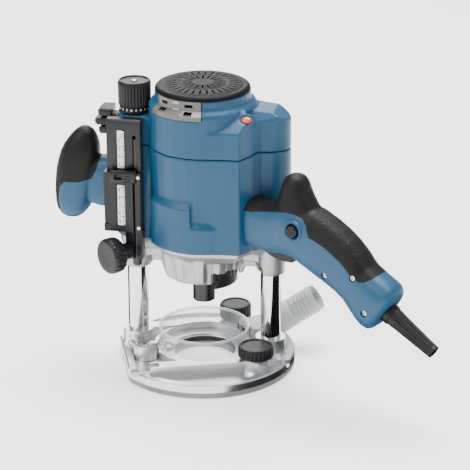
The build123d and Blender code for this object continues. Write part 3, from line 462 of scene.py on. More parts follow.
eased(plate, 0.8, 2, 34)
fitted(plate, "base", casting_silver, "cast_aluminium", "base_plate")

# ---------------------------------------------------------------- columns and springs
# Ground and hard-chromed tubes pressed into the base; the springs stand inside.
chrome = metal("chrome", (0.82, 0.82, 0.83), 0.09, grain=500.0, depth=0.0004, change=0.02, spread=0.05,
               stretch=(1, 1, 20))
painted(chrome, "column_left", "column_right")
bright_steel = metal("bright_steel", (0.62, 0.62, 0.63), 0.28, grain=1400.0, depth=0.01, stretch=(1, 1, 6))
painted(bright_steel, "sole_screws", "housing_screws", "handle_screws", "guide_screws",
        "turret_screws", "base_pivots", "fine_depth_screw", "trigger_pin", "template_guide_lever", "spindle",
        "collet", "lower_bearing", "upper_bearing")
springs = bpy.data.objects.new("springs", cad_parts["plunge_springs"].data.copy())
bpy.context.scene.collection.objects.link(springs)
bpy.ops.object.select_all(action="DESELECT")
springs.select_set(True)
bpy.context.view_layer.objects.active = springs
bpy.ops.object.mode_set(mode="EDIT")
fitted(smoothed(closed(springs)), "base", bright_steel, "steel", "plunge_springs")
STROKE = 0.060
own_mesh(springs)
clamp_screw = turned("column_clamp_screw", [(0, 0), (3.6, 0), (4.0, 0.8), (4.0, 2.2), (3.4, 2.8), (2.0, 2.8),
                                            (1.8, 1.4), (0, 1.4)], (-COLUMN_X - 3.5, -19.4, 20), (0, -1, 0), 32)
fitted(smoothed(clamp_screw), "base", bright_steel, "steel")

# ---------------------------------------------------------------- dust hood
# One clear moulding with a thick rolled lip, standing in the seat round the opening.
HOOD_R = 44.6
clear = Finish("clear_moulding", (0.93, 0.95, 0.96), 0.06, Specular_IOR_Level=0.8)
# The clear wall grows more opaque towards glancing angles, and the rolled lip is made more opaque all round: a painted
# highlight along the rim.
facing = clear.node("ShaderNodeLayerWeight", {}, {"Blend": 0.35}, 1)
lip = clear.node("ShaderNodeMath", {"operation": "GREATER_THAN"},
                 {0: clear.node("ShaderNodeSeparateXYZ", {}, {"Vector": clear.place}, 2), 1: 0.0358})
clear.feed("Alpha", (facing ** 1.6) * 0.55 + lip * 0.32 + 0.13)
clear.bump(clear.grain(90.0, 2.0), 0.05)
hood = turned("hood", [(42.6, 13.0), (46.6, 13.0), (46.6, 14.6), (44.9, 15.4), (44.6, 16.5), (44.6, 35.6),
                       (45.0, 36.4), (45.2, 37.4), (44.8, 38.4), (43.6, 38.5), (42.4, 37.6), (42.6, 36.0),
                       (42.6, 13.0)], steps=120)
DUST = radians(38.0)
DUST_OUT = Vector((cos(DUST), sin(DUST), 0))
DUST_SIDE = Vector((-sin(DUST), cos(DUST), 0))
mouth = [DUST_OUT * 38 + DUST_SIDE * s + UP * z for s, z in ((-10, 16), (10, 16), (10, 28), (-10, 28))]
cut(hood, slab("dust_mouth", mouth, DUST_OUT * 12))
for side in (-1, 1):
    cut(hood, bar("rod_way", on_base(-95, side * ROD_Y, ROD_Z), ALONG, 4.6, 200))
smoothed(hood, 40)
fitted(hood, "base", clear.material, "clear_plastic", "dust_hood")

# ---------------------------------------------------------------- dust adapter
# Grey injection-moulded elbow bolted to the plate; the spigot has interrupted
# ribs over its outer half that a hose bites on.
grey_plastic = moulded("grey_plastic", (0.46, 0.465, 0.47), 0.42, grain=1800.0, depth=0.02)
SPIGOT_FOOT = Vector((62.0, 45.8, 24.0))
SPIGOT_AIM = (Vector((105.8, 49.1, 55.0)) - SPIGOT_FOOT).normalized()
SPIGOT_LENGTH = (Vector((105.8, 49.1, 55.0)) - SPIGOT_FOOT).length


def elbow_section(reach, half, top, drop):
    """One upright section of the elbow, across its own direction."""
    shape = [(-half, 14.4), (half, 14.4), (half, top - drop), (half * 0.72, top - drop * 0.25), (0, top),
             (-half * 0.72, top - drop * 0.25), (-half, top - drop)]
    return [DUST_OUT * reach + DUST_SIDE * across + UP * z for across, z in shape]


adapter = stacked("dust_elbow", [elbow_section(46.9, 14.6, 30.4, 2), elbow_section(56, 14.8, 31, 4),
                                 elbow_section(66, 14.8, 31, 6), elbow_section(77, 14.0, 29, 8),
                                 elbow_section(84.5, 10.5, 24, 7)])
spigot = [(0, 2), (14.0, 2), (14.2, 6), (14.2, 24), (13.9, 24.6), (13.1, 25), (13.1, 28)]
for rib in range(5):
    start = 28.5 + rib * 4.6
    spigot += [(13.1, start), (14.15, start + 0.7), (14.15, start + 2.0), (13.1, start + 2.7)]
spigot += [(13.3, SPIGOT_LENGTH - 1.5), (13.3, SPIGOT_LENGTH), (12.1, SPIGOT_LENGTH), (12.0, SPIGOT_LENGTH - 1),
           (12.0, 6), (0, 6)]
spigot = turned("spigot", spigot, SPIGOT_FOOT, SPIGOT_AIM, 64)
SPIGOT_SIDE = SPIGOT_AIM.cross(UP).normalized()
SPIGOT_TOP = SPIGOT_SIDE.cross(SPIGOT_AIM)
for turn in (35, 125, 215, 305):
    out = SPIGOT_SIDE * cos(radians(turn)) + SPIGOT_TOP * sin(radians(turn))
    wide = SPIGOT_AIM.cross(out)
    low = SPIGOT_FOOT + SPIGOT_AIM * 26 + out * 13.15 - wide * 2.2
    cut(spigot, slab("rib_gap", [low, low + wide * 4.4, low + wide * 4.4 + out * 3, low + out * 3], SPIGOT_AIM * 27))
joined(adapter, spigot)
passage = [DUST_OUT * 42 + DUST_SIDE * s + UP * z for s, z in ((-10, 16), (10, 16), (10, 28), (-10, 28))]
cut(adapter, slab("passage", passage, DUST_OUT * 39), bar("spigot_bore", SPIGOT_FOOT + SPIGOT_AIM * 6, SPIGOT_AIM, 12, 60))
cut(adapter, bar("hood_gap", (0, 0, 10), UP, 46.95, 40, 96))
eased(adapter, 0.5, 2, 38)
fitted(adapter, "base", grey_plastic, "grey_plastic", "dust_adapter")

# ---------------------------------------------------------------- guide-rod clamp knobs
# Fluted black knobs moulded on steel screws, with a dished top.
black_plastic = moulded("black_plastic", (0.009, 0.009, 0.010), 0.40, grain=2200.0, depth=0.03,
                        Specular_IOR_Level=0.32)


def fluted_ring(centre, radius, depth, flutes, height, axis=UP, steps=6):
    """A ring of points whose radius dips at each flute."""
    axis = Vector(axis).normalized()
    side = axis.orthogonal().normalized()
    across = axis.cross(side)
    ring = []
    for i in range(flutes * steps):
        turn = 2 * pi * i / (flutes * steps)
        reach = radius - depth * max(0.0, cos(flutes * turn)) ** 1.5
        ring.append(Vector(centre) + axis * height + (side * cos(turn) + across * sin(turn)) * reach)
    return ring


def clamp_knob(name, spot, wide, height):
    """One fluted knob standing over its rib."""
    knob = stacked(name, [fluted_ring(spot, r, d, 24, 23.0 + h) for r, d, h in (
        (wide - 1.7, 0.0, 0.0), (wide - 0.3, 0.5, 0.6), (wide, 0.9, 1.6), (wide, 0.9, height - 2.2),
        (wide - 0.5, 0.6, height - 0.8), (wide - 1.6, 0.0, height), (wide - 2.9, 0.0, height - 0.2),
        (wide - 3.6, 0.0, height - 1.1), (6.0, 0.0, height - 1.4),
        (1.0, 0.0, height - 1.5))])
    joined(knob, turned("collar", [(0, 20.4), (9.0, 20.4), (9.4, 21.2), (9.4, 23.2), (0, 23.2)], spot, steps=48))
    joined(knob, bar("stem", Vector((spot[0], spot[1], 16.4)), UP, 2.4, 6, 24))
    return smoothed(knob, 38)


fitted(clamp_knob("knob_front", FRONT_KNOB, 17.4, 11.0), "rod_knob_front", black_plastic, "black_plastic",
       "rod_knob_front")
fitted(clamp_knob("knob_back", BACK_KNOB, 16.0, 15.0), "rod_knob_back", black_plastic, "black_plastic",
       "rod_knob_back")
for spot in (FRONT_KNOB, BACK_KNOB):
    washer = turned("knob_washer", [(9.9, 20.05), (13.2, 20.05), (13.6, 20.6), (13.6, 21.6), (13.0, 22.2),
                                    (9.9, 22.2), (9.9, 20.05)], spot, steps=56)
    fitted(smoothed(washer), "base", bright_steel, "steel")
painted(black_plastic, "switch_module", "brush_holders", "bearing_bridge", "fan", "index_shoe")
painted(casting_silver, "stop_turret")

# ---------------------------------------------------------------- nose casting
# Aluminium die casting under the motor: a flared flange, cooling ribs round the nose
# and a sleeve for each column. It is cut away in front for the spindle lock.
nose_silver = metal("nose_silver", (0.46, 0.46, 0.465), 0.46, grain=700.0, depth=0.05, change=0.06)


def ring_of(points, z, grow=0.0):
    """A plan outline at a height, grown outwards."""
    count, ring = len(points), []
    for i, (x, y) in enumerate(points):
        (ax, ay), (bx, by) = points[i - 1], points[(i + 1) % count]
        length = hypot(bx - ax, by - ay)
        ring.append((x + (by - ay) / length * grow, y - (bx - ax) / length * grow, z))
    return ring


def arc(centre, radius, start, end, steps):
    """Plan points along an arc."""
    return [(centre + radius * cos(radians(start + (end - start) * i / steps)),
             radius * sin(radians(start + (end - start) * i / steps))) for i in range(steps + 1)]


HEAD_PLAN = (arc(-COLUMN_X, 17.0, 112, 248, 12) + [(-60, -17.3), (-52.5, -18.2), (-48.4, -19.4)]
             + [(52.0 * cos(radians(a)), 52.0 * sin(radians(a))) for a in (-150, -138, -125, -113, -97, -87)]
             + [(13.5, -50.6), (29.0, -48.6), (43.2, -48.6), (50.5, -36.2), (54.8, -25.5), (58.6, -19.8)]
             + arc(COLUMN_X, 18.5, -78, 78, 14) + [(57.0, 19.3)]
             + [(52.0 * cos(radians(a)), 52.0 * sin(radians(a))) for a in range(24, 160, 8)] + [(-58.0, 17.0)])
nose = stacked("nose", [ring_of(HEAD_PLAN, 133.9, -1.4), ring_of(HEAD_PLAN, 129.5, -2.4),
                        [(x * 0.80, y * 0.80 if abs(x) < 50 else y * 0.72, 121.0) for x, y in HEAD_PLAN]])
ribbed = []
for z, reach, depth in ((133.0, 44.5, 0.0), (122.0, 43.5, 1.8), (108.0, 41.6, 3.4), (101.0, 40.4, 3.0), (97.5, 39.2, 1.4),
                        (96.0, 37.6, 0.0)):
    ribbed.append([((reach - depth * (0.0 if i % 6 < 3 else 1.0)) * cos(2 * pi * i / 72),
                    (reach - depth * (0.0 if i % 6 < 3 else 1.0)) * sin(2 * pi * i / 72), z) for i in range(72)])
joined(nose, stacked("nose_barrel", ribbed))
for x, radius in ((-COLUMN_X, 14.4), (COLUMN_X, 14.2)):
    joined(nose, turned("sleeve", [(0, 100.0), (radius - 1.0, 100.0), (radius, 101), (radius, 121), (radius + 1.6, 128),
                                   (radius + 1.6, 133.8), (0, 133.8)], (x, 0, 0), steps=56))
    joined(nose, block("arm", (min(x, 0), -9, 112), (max(x, 0), 9, 133.8)))
    joined(nose, block("arm_rib", (min(x, 0), -2, 104), (max(x, 0), 2, 120)))
away = slab("lock_window", [(20.5, -1.5, 95), (60, -1.5, 95), (60, -60, 95), (10, -60, 95)], (0, 0, 12.6))
cut(away, bar("nose_core", (0, 0, 90), UP, 20.4, 30, 64))
cut(nose, away)
cut(nose, turned("under_nose", [(20.0, 95), (34.6, 95), (34.6, 107.6), (20.0, 107.6), (20.0, 95)]),
    bar("nut_clearance", (0, 0, 95), UP, 12.0, 20), bar("bearing_seat", (0, 0, 104), UP, 17.5, 40, 56))
for x in (-COLUMN_X, COLUMN_X):
    cut(nose, bar("bush_seat", (x, 0, 99), UP, 12.0, 60, 48))
softened(nose, 1.15, 2)
fitted(nose, "head", nose_silver, "cast_aluminium", "nose_casting")
bronze = metal("bronze", (0.55, 0.36, 0.16), 0.4)
painted(bronze, "column_bushes")
lock_ring = stacked("lock_ring", [fluted_ring((0, 0, 0), r, d, 36, z) for r, d, z in (
    (32.6, 0.0, 96.6), (33.9, 0.5, 97.6), (33.9, 0.5, 105.6), (33.0, 0.0, 106.9))])
tab = [(34.0 * cos(radians(a)), 34.0 * sin(radians(a)), 97.5) for a in range(-60, -3, 7)]
tab += [(21.8 * cos(radians(a)), 21.8 * sin(radians(a)), 97.5) for a in range(-4, -61, -7)]
tab_low = [(x * 0.97, y * 0.97, 89.0) for x, y, z in tab]
tab_mid = [(x, y, 91.0) for x, y, z in tab]
joined(lock_ring, stacked("lock_tab", [tab_low, tab_mid, tab]))
cut(lock_ring, bar("lock_bore", (0, 0, 80), UP, 20.1, 40, 72))
eased(lock_ring, 0.6, 2, 40)
fitted(lock_ring, "spindle_lock", black_plastic, "black_plastic", "spindle_lock_ring")
nut_black = metal("nut_black", (0.05, 0.05, 0.052), 0.35)
painted(nut_black, "collet_nut", "depth_rod")

# ---------------------------------------------------------------- lower housing
# Glass-filled nylon barrel round the motor, faceted in front, with two moulded
# ledges stepping out above the skirt and fine draft creases between them.
blue = moulded("blue_plastic", (0.0095, 0.070, 0.142), 0.42, grain=2400.0, depth=0.035, change=0.06,
               Specular_IOR_Level=0.4)


def walled(name, rings, inner):
    """A moulding: its outside less its inside."""
    shell = stacked(name, rings)
    return cut(shell, stacked("inside", inner))


barrel = []
for z, front, rest in ((134.0, 0.6, 1.4), (160.0, -1.6, 0.9), (186.0, -1.9, 0.5), (214.0, -0.5, 0.1), (228.6, 0.0, 0.0),
                       (229.0, -0.4, -0.4)):
    wide = ring_of(HEAD_PLAN, z, rest)
    near = ring_of(HEAD_PLAN, z, front)
    barrel.append([near[i] if 15 <= i <= 22 else wide[i] for i in range(len(wide))])
lower = walled("lower_barrel", barrel, [ring_of(HEAD_PLAN, 133, -4.6), ring_of(HEAD_PLAN, 230, -4.6)])


def ledge(name, start, end, top, reach, slope):
    """A step of the skirt along the drum's front, its top face sloped to the light."""
    steps = 10
    angles = [radians(start + (end - start) * i / steps) for i in range(steps + 1)]
    rings = []
    for z, radius in ((134.0, reach), (top - slope, reach), (top, 51.0)):
        rings.append([(radius * cos(a), radius * sin(a), z) for a in angles]
                     + [(46.0 * cos(a), 46.0 * sin(a), z) for a in reversed(angles)])
    return stacked(name, rings)


ledges = [ledge("ledge_left", -149, -93, 183.5, 54.4, 4.5), ledge("ledge_mid", -94, -61, 164.0, 54.2, 4.5)]
for piece in ledges:
    joined(lower, piece)
joined(lower, stacked("skirt_back", [[(r * cos(radians(a)), r * sin(radians(a)), z) for a in range(24, 160, 8)]
                                     + [(46 * cos(radians(a)), 46 * sin(radians(a)), z) for a in range(152, 23, -8)]
                                     for z, r in ((134.0, 53.6), (168.0, 53.6), (171.5, 51.0))]))
joined(lower, stacked("tower_step", [ring_of(arc(-COLUMN_X, 17.0, 180, 262, 8) + [(-66.5, -4)], z, g)
                                     for z, g in ((134.0, 2.2), (175.0, 2.2), (178.5, -0.8))]))
for z in (178.0, 200.0):
    cut(lower, bar("bolt_hole", (-COLUMN_X, 0, z), (-1, 0, 0), 2.6, 30, 24))
softened(lower, 1.1, 2)
fitted(lower, "head", blue, "blue_plastic", "lower_housing")

# ---------------------------------------------------------------- upper housing
# The cap moulding: shouldered drum with a neck, tower caps, and the cut-back front
# corner that carries the lamp. A dark gap shows where it meets the barrel.
upper = stacked("upper_cap", [ring_of(HEAD_PLAN, 229.5, -0.4), ring_of(HEAD_PLAN, 230.1, 0.0),
                              ring_of(HEAD_PLAN, 262.0, -0.4), ring_of(HEAD_PLAN, 272.0, -0.8)])
SLOPE = atan2(0.8, 1.0)
cut(upper, slab("facet", [(2, -80, 230), (2, -50, 254), (2, -8, 287.6), (2, -8, 320), (2, -80, 320)], (110, 0, 0)))
joined(upper, slab("tower_right", [(x, y, 229.6) for x, y in arc(COLUMN_X, 18.3, -80, 80, 14) + [(40, 17), (40, -17)]],
                   (0, 0, 44.6)))
cut(upper, slab("left_top", [(-60, -30, 257), (-60, 30, 257), (-95, 30, 257), (-95, -30, 257)], (0, 0, 40)))
cut(upper, slab("left_top_in", [(-44, -30, 257), (-44, 30, 257), (-61, 30, 257), (-61, -30, 257)], (0, 0, 40)))
# the right tower's cap falls away to the right and to the front
cut(upper, slab("right_top", [(46, -30, 268.8), (70, -30, 266.8), (84, -30, 259.2), (95, -30, 252), (95, -30, 300),
                              (46, -30, 300)], (0, 60, 0)))
cut(upper, slab("right_front", [(45, -26, 252), (45, -8, 273), (45, -8, 300), (45, -26, 300)], (60, 0, 0)))
drum = [[(r * cos(radians(a)), r * sin(radians(a)), z) for a in
         (-150, -138, -125, -113, -97, -87, -76, -64, -52, -40, -28, -16, *range(-4, 206, 8))]
        for r, z in ((51.8, 231.0), (51.8, 269.0), (51.0, 271.4), (46.4, 275.4), (45.8, 277.0), (45.8, 283.2),
                     (45.2, 284.0))]
joined(upper, stacked("neck", drum))
cut(upper, stacked("inside", [ring_of(HEAD_PLAN, 229, -3.2), ring_of(HEAD_PLAN, 250, -3.4)]),
    turned("drum_inside", [(0, 228), (49, 228), (49, 269.5), (43, 273.5), (43, 290), (0, 290)]))
cut(upper, bar("knob_scallop", (-COLUMN_X, 0, 257), UP, 16.6, 40, 56))
column_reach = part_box("column_left")[1][2] / MM + STROKE / MM + 1.5
for x in (-COLUMN_X, COLUMN_X):
    cut(upper, bar("column_room", (x, 0, 226), UP, 10.9, column_reach - 226, 48))
LAMP_AXIS = Vector((0, -sin(SLOPE), cos(SLOPE)))
LAMP = Vector((48.0, -35.0, 266.0))
oval = [LAMP - LAMP_AXIS * 1.2 + Vector((7.2 * cos(2 * pi * i / 28), 4.9 * sin(2 * pi * i / 28) * cos(SLOPE),
                                         4.9 * sin(2 * pi * i / 28) * sin(SLOPE))) for i in range(28)]
cut(upper, slab("lamp_well", oval, LAMP_AXIS * 12))
VENT_FROM, VENT_TO = -143.0, -81.0
vent_arc = [VENT_FROM + (VENT_TO - VENT_FROM) * i / 12 for i in range(13)]
vent_top = [(60 * cos(radians(a)), 60 * sin(radians(a))) for a in vent_arc]
vent_in = [(40 * cos(radians(a)), 40 * sin(radians(a))) for a in reversed(vent_arc)]
cut(upper, stacked("vent_window", [[(x, y, z) for x, y in vent_top + vent_in] for z in (267.0, 290.0)]))
cut(upper, bar("lock_hole", (-96, 4, 247), (1, 0, 0), 3.3, 18, 24))
softened(upper, 1.0, 2)
fitted(upper, "head", blue, "blue_plastic", "upper_housing")

# ---------------------------------------------------------------- vent panel and top cap
# A grey-brown grille snaps into the shoulder; a black cap with air slots
# closes the neck.
grille_brown = moulded("grille_brown", (0.115, 0.105, 0.095), 0.32, grain=1500.0, depth=0.02, Coat_Weight=0.3)
painted(grille_brown, "vent_panel", "electronics_module")
# The light grey bars laid on the dark grille at -112 degrees are painted highlights: they stand in for light caught by
# the ridges beside its slots.
grille_highlight = moulded("grille_highlight", (0.42, 0.42, 0.43), 0.3, grain=1500.0, depth=0.02)
for angle in (-112.0,):
    for z, reach in ((281.6, 46.75), (275.4, 46.75)):
        out = Vector((cos(radians(angle)), sin(radians(angle)), 0))
        wide = Vector((-out.y, out.x, 0))
        low = out * (reach - 0.8) - wide * 3.6 + UP * (z - 1.0)
        highlight_bar = slab("grille_bar", [low, low + wide * 7.2, low + wide * 7.2 + UP * 2.2, low + UP * 2.2], out * 1.1)
        fitted(eased(highlight_bar, 0.3, 1), "head", grille_highlight, "dark_panel")
cap_black = moulded("cap_black", (0.004, 0.004, 0.0045), 0.5, grain=500.0, depth=0.015,
                    Specular_IOR_Level=0.12)
cap = turned("top_cap", [(0, 281.4), (43.0, 281.4), (43.0, 284.2), (45.6, 284.2), (45.4, 285.4), (43.8, 287.4),
                         (41.4, 288.3), (38.6, 287.5), (36.8, 288.4), (24.0, 289.5), (22.4, 288.8), (20.8, 289.7),
                         (0, 289.95)], steps=96)
for count, near, far in ((30, 25.6, 35.4), (18, 10.5, 19.5)):
    for i in range(count):
        turn = 2 * pi * i / count
        out = Vector((cos(turn), sin(turn), 0))
        wide = Vector((-out.y, out.x, 0)) * 0.85
        slot = [out * near - wide + UP * 287.2, out * far - wide + UP * 287.2, out * far + wide + UP * 287.2,
                out * near + wide + UP * 287.2]
        cut(cap, slab("air_slot", slot, (0, 0, 5)))
eased(cap, 0.25, 1, 40)
fitted(cap, "head", cap_black, "black_plastic", "top_cover")

# ---------------------------------------------------------------- indicator lamp
red = Finish("red_lens", (0.62, 0.045, 0.018), 0.18, Coat_Weight=0.5)
glow = red.node("ShaderNodeTexVoronoi", {}, {"Vector": red.place, "Scale": 700.0})
red.feed("Base Color", red.mixed(glow, (0.85, 0.12, 0.05), (0.5, 0.02, 0.01)))
red.surface.inputs["Emission Strength"].default_value = 0.25
red.surface.inputs["Emission Color"].default_value = (0.9, 0.10, 0.04, 1)
lens = stacked("lamp_lens", [[LAMP - LAMP_AXIS * 1.15 + LAMP_AXIS * h + Vector((
    4.2 * s * cos(2 * pi * i / 24), 3.4 * s * sin(2 * pi * i / 24) * cos(SLOPE), 3.4 * s * sin(2 * pi * i / 24) * sin(SLOPE)))
    for i in range(24)] for s, h in ((1.0, 0.0), (1.0, 1.1), (0.8, 1.7), (0.35, 2.0))])
fitted(smoothed(lens, 60), "head", red.material, "red_lens", "indicator_lamp")
bezel_outer = [LAMP - LAMP_AXIS * 1.25 + Vector((6.9 * cos(2 * pi * i / 28), 4.7 * sin(2 * pi * i / 28) * cos(SLOPE),
                                               4.7 * sin(2 * pi * i / 28) * sin(SLOPE))) for i in range(28)]
bezel = slab("lamp_bezel", bezel_outer, LAMP_AXIS * 0.5)
fitted(smoothed(bezel), "head", black_plastic, "black_plastic")

# ---------------------------------------------------------------- fine-depth knob and scale ring
# Tall fluted knob on a steel screw above a loose ring with a white zero scale.
knob_at = Vector((-COLUMN_X, 0, 0))
fine = stacked("fine_knob", [fluted_ring(knob_at, r, d, 30, z, steps=5) for r, d, z in (
    (14.9, 0.0, 264.3), (15.6, 0.3, 265.0), (15.7, 0.9, 266.0), (15.9, 0.9, 285.8), (15.5, 0.5, 287.4),
    (14.6, 0.0, 288.5), (13.4, 0.0, 288.5), (12.8, 0.0, 287.4), (6.0, 0.0, 287.1), (1.0, 0.0, 287.1))])
cut(fine, bar("screw_hole", (-COLUMN_X, 0, 255), UP, 3.02, 32.0, 24))
joined(fine, turned("sleeve", [(3.04, 257.3), (5.0, 257.3), (5.0, 266), (3.04, 266), (3.04, 257.3)], knob_at, steps=40))
fitted(smoothed(fine, 38), "fine_knob", black_plastic, "black_plastic", "fine_depth_knob")
screw_dot = turned("fine_knob_pin", [(0, 286.9), (2.6, 286.9), (2.6, 288.0), (1.8, 288.5), (0, 288.55)], knob_at, steps=28)
fitted(smoothed(screw_dot), "fine_knob", bright_steel, "steel")
scale_ring = stacked("scale_ring", [fluted_ring(knob_at, r, d, 36, z, steps=4) for r, d, z in (
    (14.6, 0.0, 257.3), (15.1, 0.4, 258.0), (15.1, 0.4, 259.6), (14.6, 0.0, 260.2), (14.4, 0.0, 263.4), (14.0, 0.0, 264.0))])
cut(scale_ring, bar("ring_bore", (-COLUMN_X, 0, 250), UP, 5.1, 20, 40))
fitted(smoothed(scale_ring, 38), "scale_ring", black_plastic, "black_plastic", "depth_scale_ring")
white_mark = moulded("white_mark", (0.80, 0.80, 0.78), 0.5, grain=900.0, depth=0.01, change=0.03)
marks = None
for i in range(20):
    turn = 2 * pi * i / 20
    out = Vector((cos(turn), sin(turn), 0))
    wide = Vector((-out.y, out.x, 0)) * (0.55 if i % 5 else 1.0)
    low = knob_at + out * 14.2 + UP * 260.9
    tick = slab("ring_mark", [low - wide, low + wide, low + wide + UP * 2.0, low - wide + UP * 2.0], out * 0.55)
    marks = tick if marks is None else joined(marks, tick)
fitted(smoothed(marks), "scale_ring", white_mark, "scale_white")

# ---------------------------------------------------------------- depth stop
# Black rail and guide screwed to the left tower carry the chromed depth rod, two
# printed scales, a sliding index and a clamp knob.
satin_black = moulded("satin_black", (0.008, 0.008, 0.009), 0.34, grain=1600.0, depth=0.02,
                      Specular_IOR_Level=0.35)
rail = block("rail", (-88, -30, 205.3), (-55, -18.8, 257))
cut(rail, block("rail_scale_bed", (-78.2, -31, 208), (-69.8, -29.4, 247.5)),
    block("rail_slot", (-62.6, -40, 200), (-59.4, -24, 242)),
    bar("rod_way", (-61, -24, 200), UP, 4.7, 42, 32),
    slab("rail_chamfer", [(-90, -33, 259), (-90, -33, 252), (-90, -25, 259)], (40, 0, 0)))
eased(rail, 0.9, 3)
fitted(rail, "head", satin_black, "black_plastic", "depth_rail")
guide = block("guide", (-91, -33, 145), (-55, -18.8, 205))
joined(guide, block("guide_foot", (-71, -30, 116), (-54.5, -18.8, 146)))
joined(guide, bar("clamp_boss", (-61, -24, 125), (-0.66, -0.75, 0), 8.0, 19.8, 40))
joined(guide, block("guide_shoulder", (-91, -33.3, 145), (-66, -32, 150)))
cut(guide, block("guide_scale_bed", (-79, -35, 150.5), (-69, -32.2, 193.5)),
    block("guide_slot", (-62.6, -40, 100), (-59.4, -24, 215)),
    bar("rod_way", (-61, -24, 100), UP, 4.6, 120, 32),
    bar("clamp_way", (-61, -24, 125), (-0.66, -0.75, 0), 3.2, 30, 24),
    block("guide_relief", (-92, -36, 152), (-86.5, -31.4, 192)))
for z in (201.0, 149.5):
    cut(guide, bar("screw_seat", (-57.2, -36, z), (0, 1, 0), 1.7, 8.3, 20))
eased(guide, 0.7, 2)
fitted(guide, "head", satin_black, "black_plastic", "depth_guide")
scale_print = Finish("scale_print", (0.86, 0.86, 0.84), 0.42)
height = scale_print.node("ShaderNodeSeparateXYZ", {}, {"Vector": scale_print.place}, 2)
side_way = scale_print.node("ShaderNodeSeparateXYZ", {}, {"Vector": scale_print.place}, 0)


def lines(pitch, share):
    """1 on a printed line, 0 between lines."""
    phase = scale_print.node("ShaderNodeMath", {"operation": "FRACT"}, {0: height * (1000.0 / pitch)})
    return scale_print.node("ShaderNodeMath", {"operation": "LESS_THAN"}, {0: phase, 1: share})


near_edge = scale_print.node("ShaderNodeMath", {"operation": "GREATER_THAN"}, {0: side_way, 1: -0.0725})
half_way = scale_print.node("ShaderNodeMath", {"operation": "GREATER_THAN"}, {0: side_way, 1: -0.0742})
ink = scale_print.node("ShaderNodeMath", {"operation": "MAXIMUM"}, {0: lines(2.0, 0.3) * near_edge,
                                                                    1: lines(10.0, 0.09) * half_way})
scale_print.feed("Base Color", scale_print.mixed(ink, (0.84, 0.84, 0.82), (0.03, 0.03, 0.03)))
scale_print.bump(scale_print.grain(1200.0), 0.01)
strips = eased(block("scale_upper", (-77.4, -30.4, 209), (-70.6, -29.4, 246.5)), 0.2, 1)
joined(strips, eased(block("scale_lower", (-77.6, -33.0, 151.5), (-70.4, -32.2, 192.5)), 0.2, 1))
fitted(strips, "head", scale_print.material, "scale_white", "depth_scales")
figures = None
for z, y in [(213.0 + 8 * i, -30.55) for i in range(4)] + [(156.0 + 8 * i, -33.15) for i in range(5)]:
    bpy.ops.object.select_all(action="DESELECT")
    bpy.ops.object.text_add(location=(0, 0, 0))
    figure = bpy.context.object
    figure.data.body = str(int(z) // 10 % 10)
    figure.data.size = 4.4 * MM
    figure.data.extrude = 0.08 * MM
    bpy.ops.object.convert(target="MESH")
    figure = bpy.context.object
    figure.data.transform(Matrix.Translation(Vector((-76.6, y, z - 1.5)) * MM) @ Matrix.Rotation(pi / 2, 4, "X"))
    if figures is None:
        figures = figure
        figures.name = "scale_figures"
    else:
        bpy.ops.object.select_all(action="DESELECT")
        figure.select_set(True)
        figures.select_set(True)
        bpy.context.view_layer.objects.active = figures
        bpy.ops.object.join()
fitted(figures, "head", black_plastic, "black_plastic")
index = stacked("index_slider", [[(x, y, z) for z, y in shape] for x, shape in (
    (-84.0, ((196, -33.4), (196, -34.6), (198, -35.6), (202, -35.8), (206, -35.6), (208, -34.6), (208, -33.4))),
    (-82.0, ((196, -33.4), (196, -35.4), (198, -36.3), (202, -36.5), (206, -36.3), (208, -35.4), (208, -33.4))),
    (-60.5, ((196, -33.4), (196, -35.4), (198, -36.3), (202, -36.5), (206, -36.3), (208, -35.4), (208, -33.4))),
    (-58.8, ((196, -33.4), (196, -34.4), (198, -35.2), (202, -35.4), (206, -35.2), (208, -34.4), (208, -33.4))))])
for z in (198.4, 200.8, 203.2, 205.6):
    cut(index, block("grip_line", (-70, -38, z - 0.45), (-62, -35.9, z + 0.45)))
cut(index, block("index_window", (-79.5, -40, 199), (-72, -33, 205)))
fitted(eased(index, 0.35, 2, 30), "index_slider", satin_black, "black_plastic", "index_slider")
AIM = Vector((-0.66, -0.75, 0)).normalized()
clamp_at = Vector((-61, -24, 125))
clamp = stacked("clamp_knob", [fluted_ring(clamp_at, r, d, 20, h, AIM) for r, d, h in (
    (14.0, 0.0, 23.0), (16.2, 0.5, 23.6), (17.3, 0.8, 25.2), (17.5, 0.8, 33.4), (17.0, 0.5, 35.4), (15.8, 0.0, 36.6),
    (14.2, 0.0, 37.0), (10.0, 0.0, 36.5), (1.0, 0.0, 36.2))])
joined(clamp, bar("clamp_neck", clamp_at + AIM * 20.4, AIM, 8.0, 4, 40),
       bar("clamp_stem", clamp_at + AIM * 5.2, AIM, 3.0, 18, 24))
fitted(smoothed(clamp, 38), "depth_clamp", black_plastic, "black_plastic", "depth_clamp_knob")

# ---------------------------------------------------------------- plunge-lock lever
# Three-ridged black wing on the left tower.
HUB = Vector((-84.7, 4.0, 247.0))
lever = bar("lock_wing", HUB, (-1, 0, 0), 8.0, 14, 40)
for rise, reach, half in ((9.0, 17.0, 11.0), (0.0, 20.0, 12.0), (-9.0, 16.5, 11.0)):
    wing = stacked("wing", [[(HUB.x - d, HUB.y + s, HUB.z + rise + t) for s, t in
                             ((-w, -h), (w, -h), (w, h), (-w, h))] for d, w, h in
                            ((4.0, half, 3.2), (reach - 2.5, half, 3.2), (reach, half - 2.5, 1.9))])
    joined(lever, wing)
joined(lever, bar("lever_screw", (-78.0, 4.0, 247.0), (-1, 0, 0), 3.0, 8.0, 24))
fitted(eased(lever, 0.9, 3, 34), "plunge_lock", black_plastic, "black_plastic", "plunge_lock_lever")

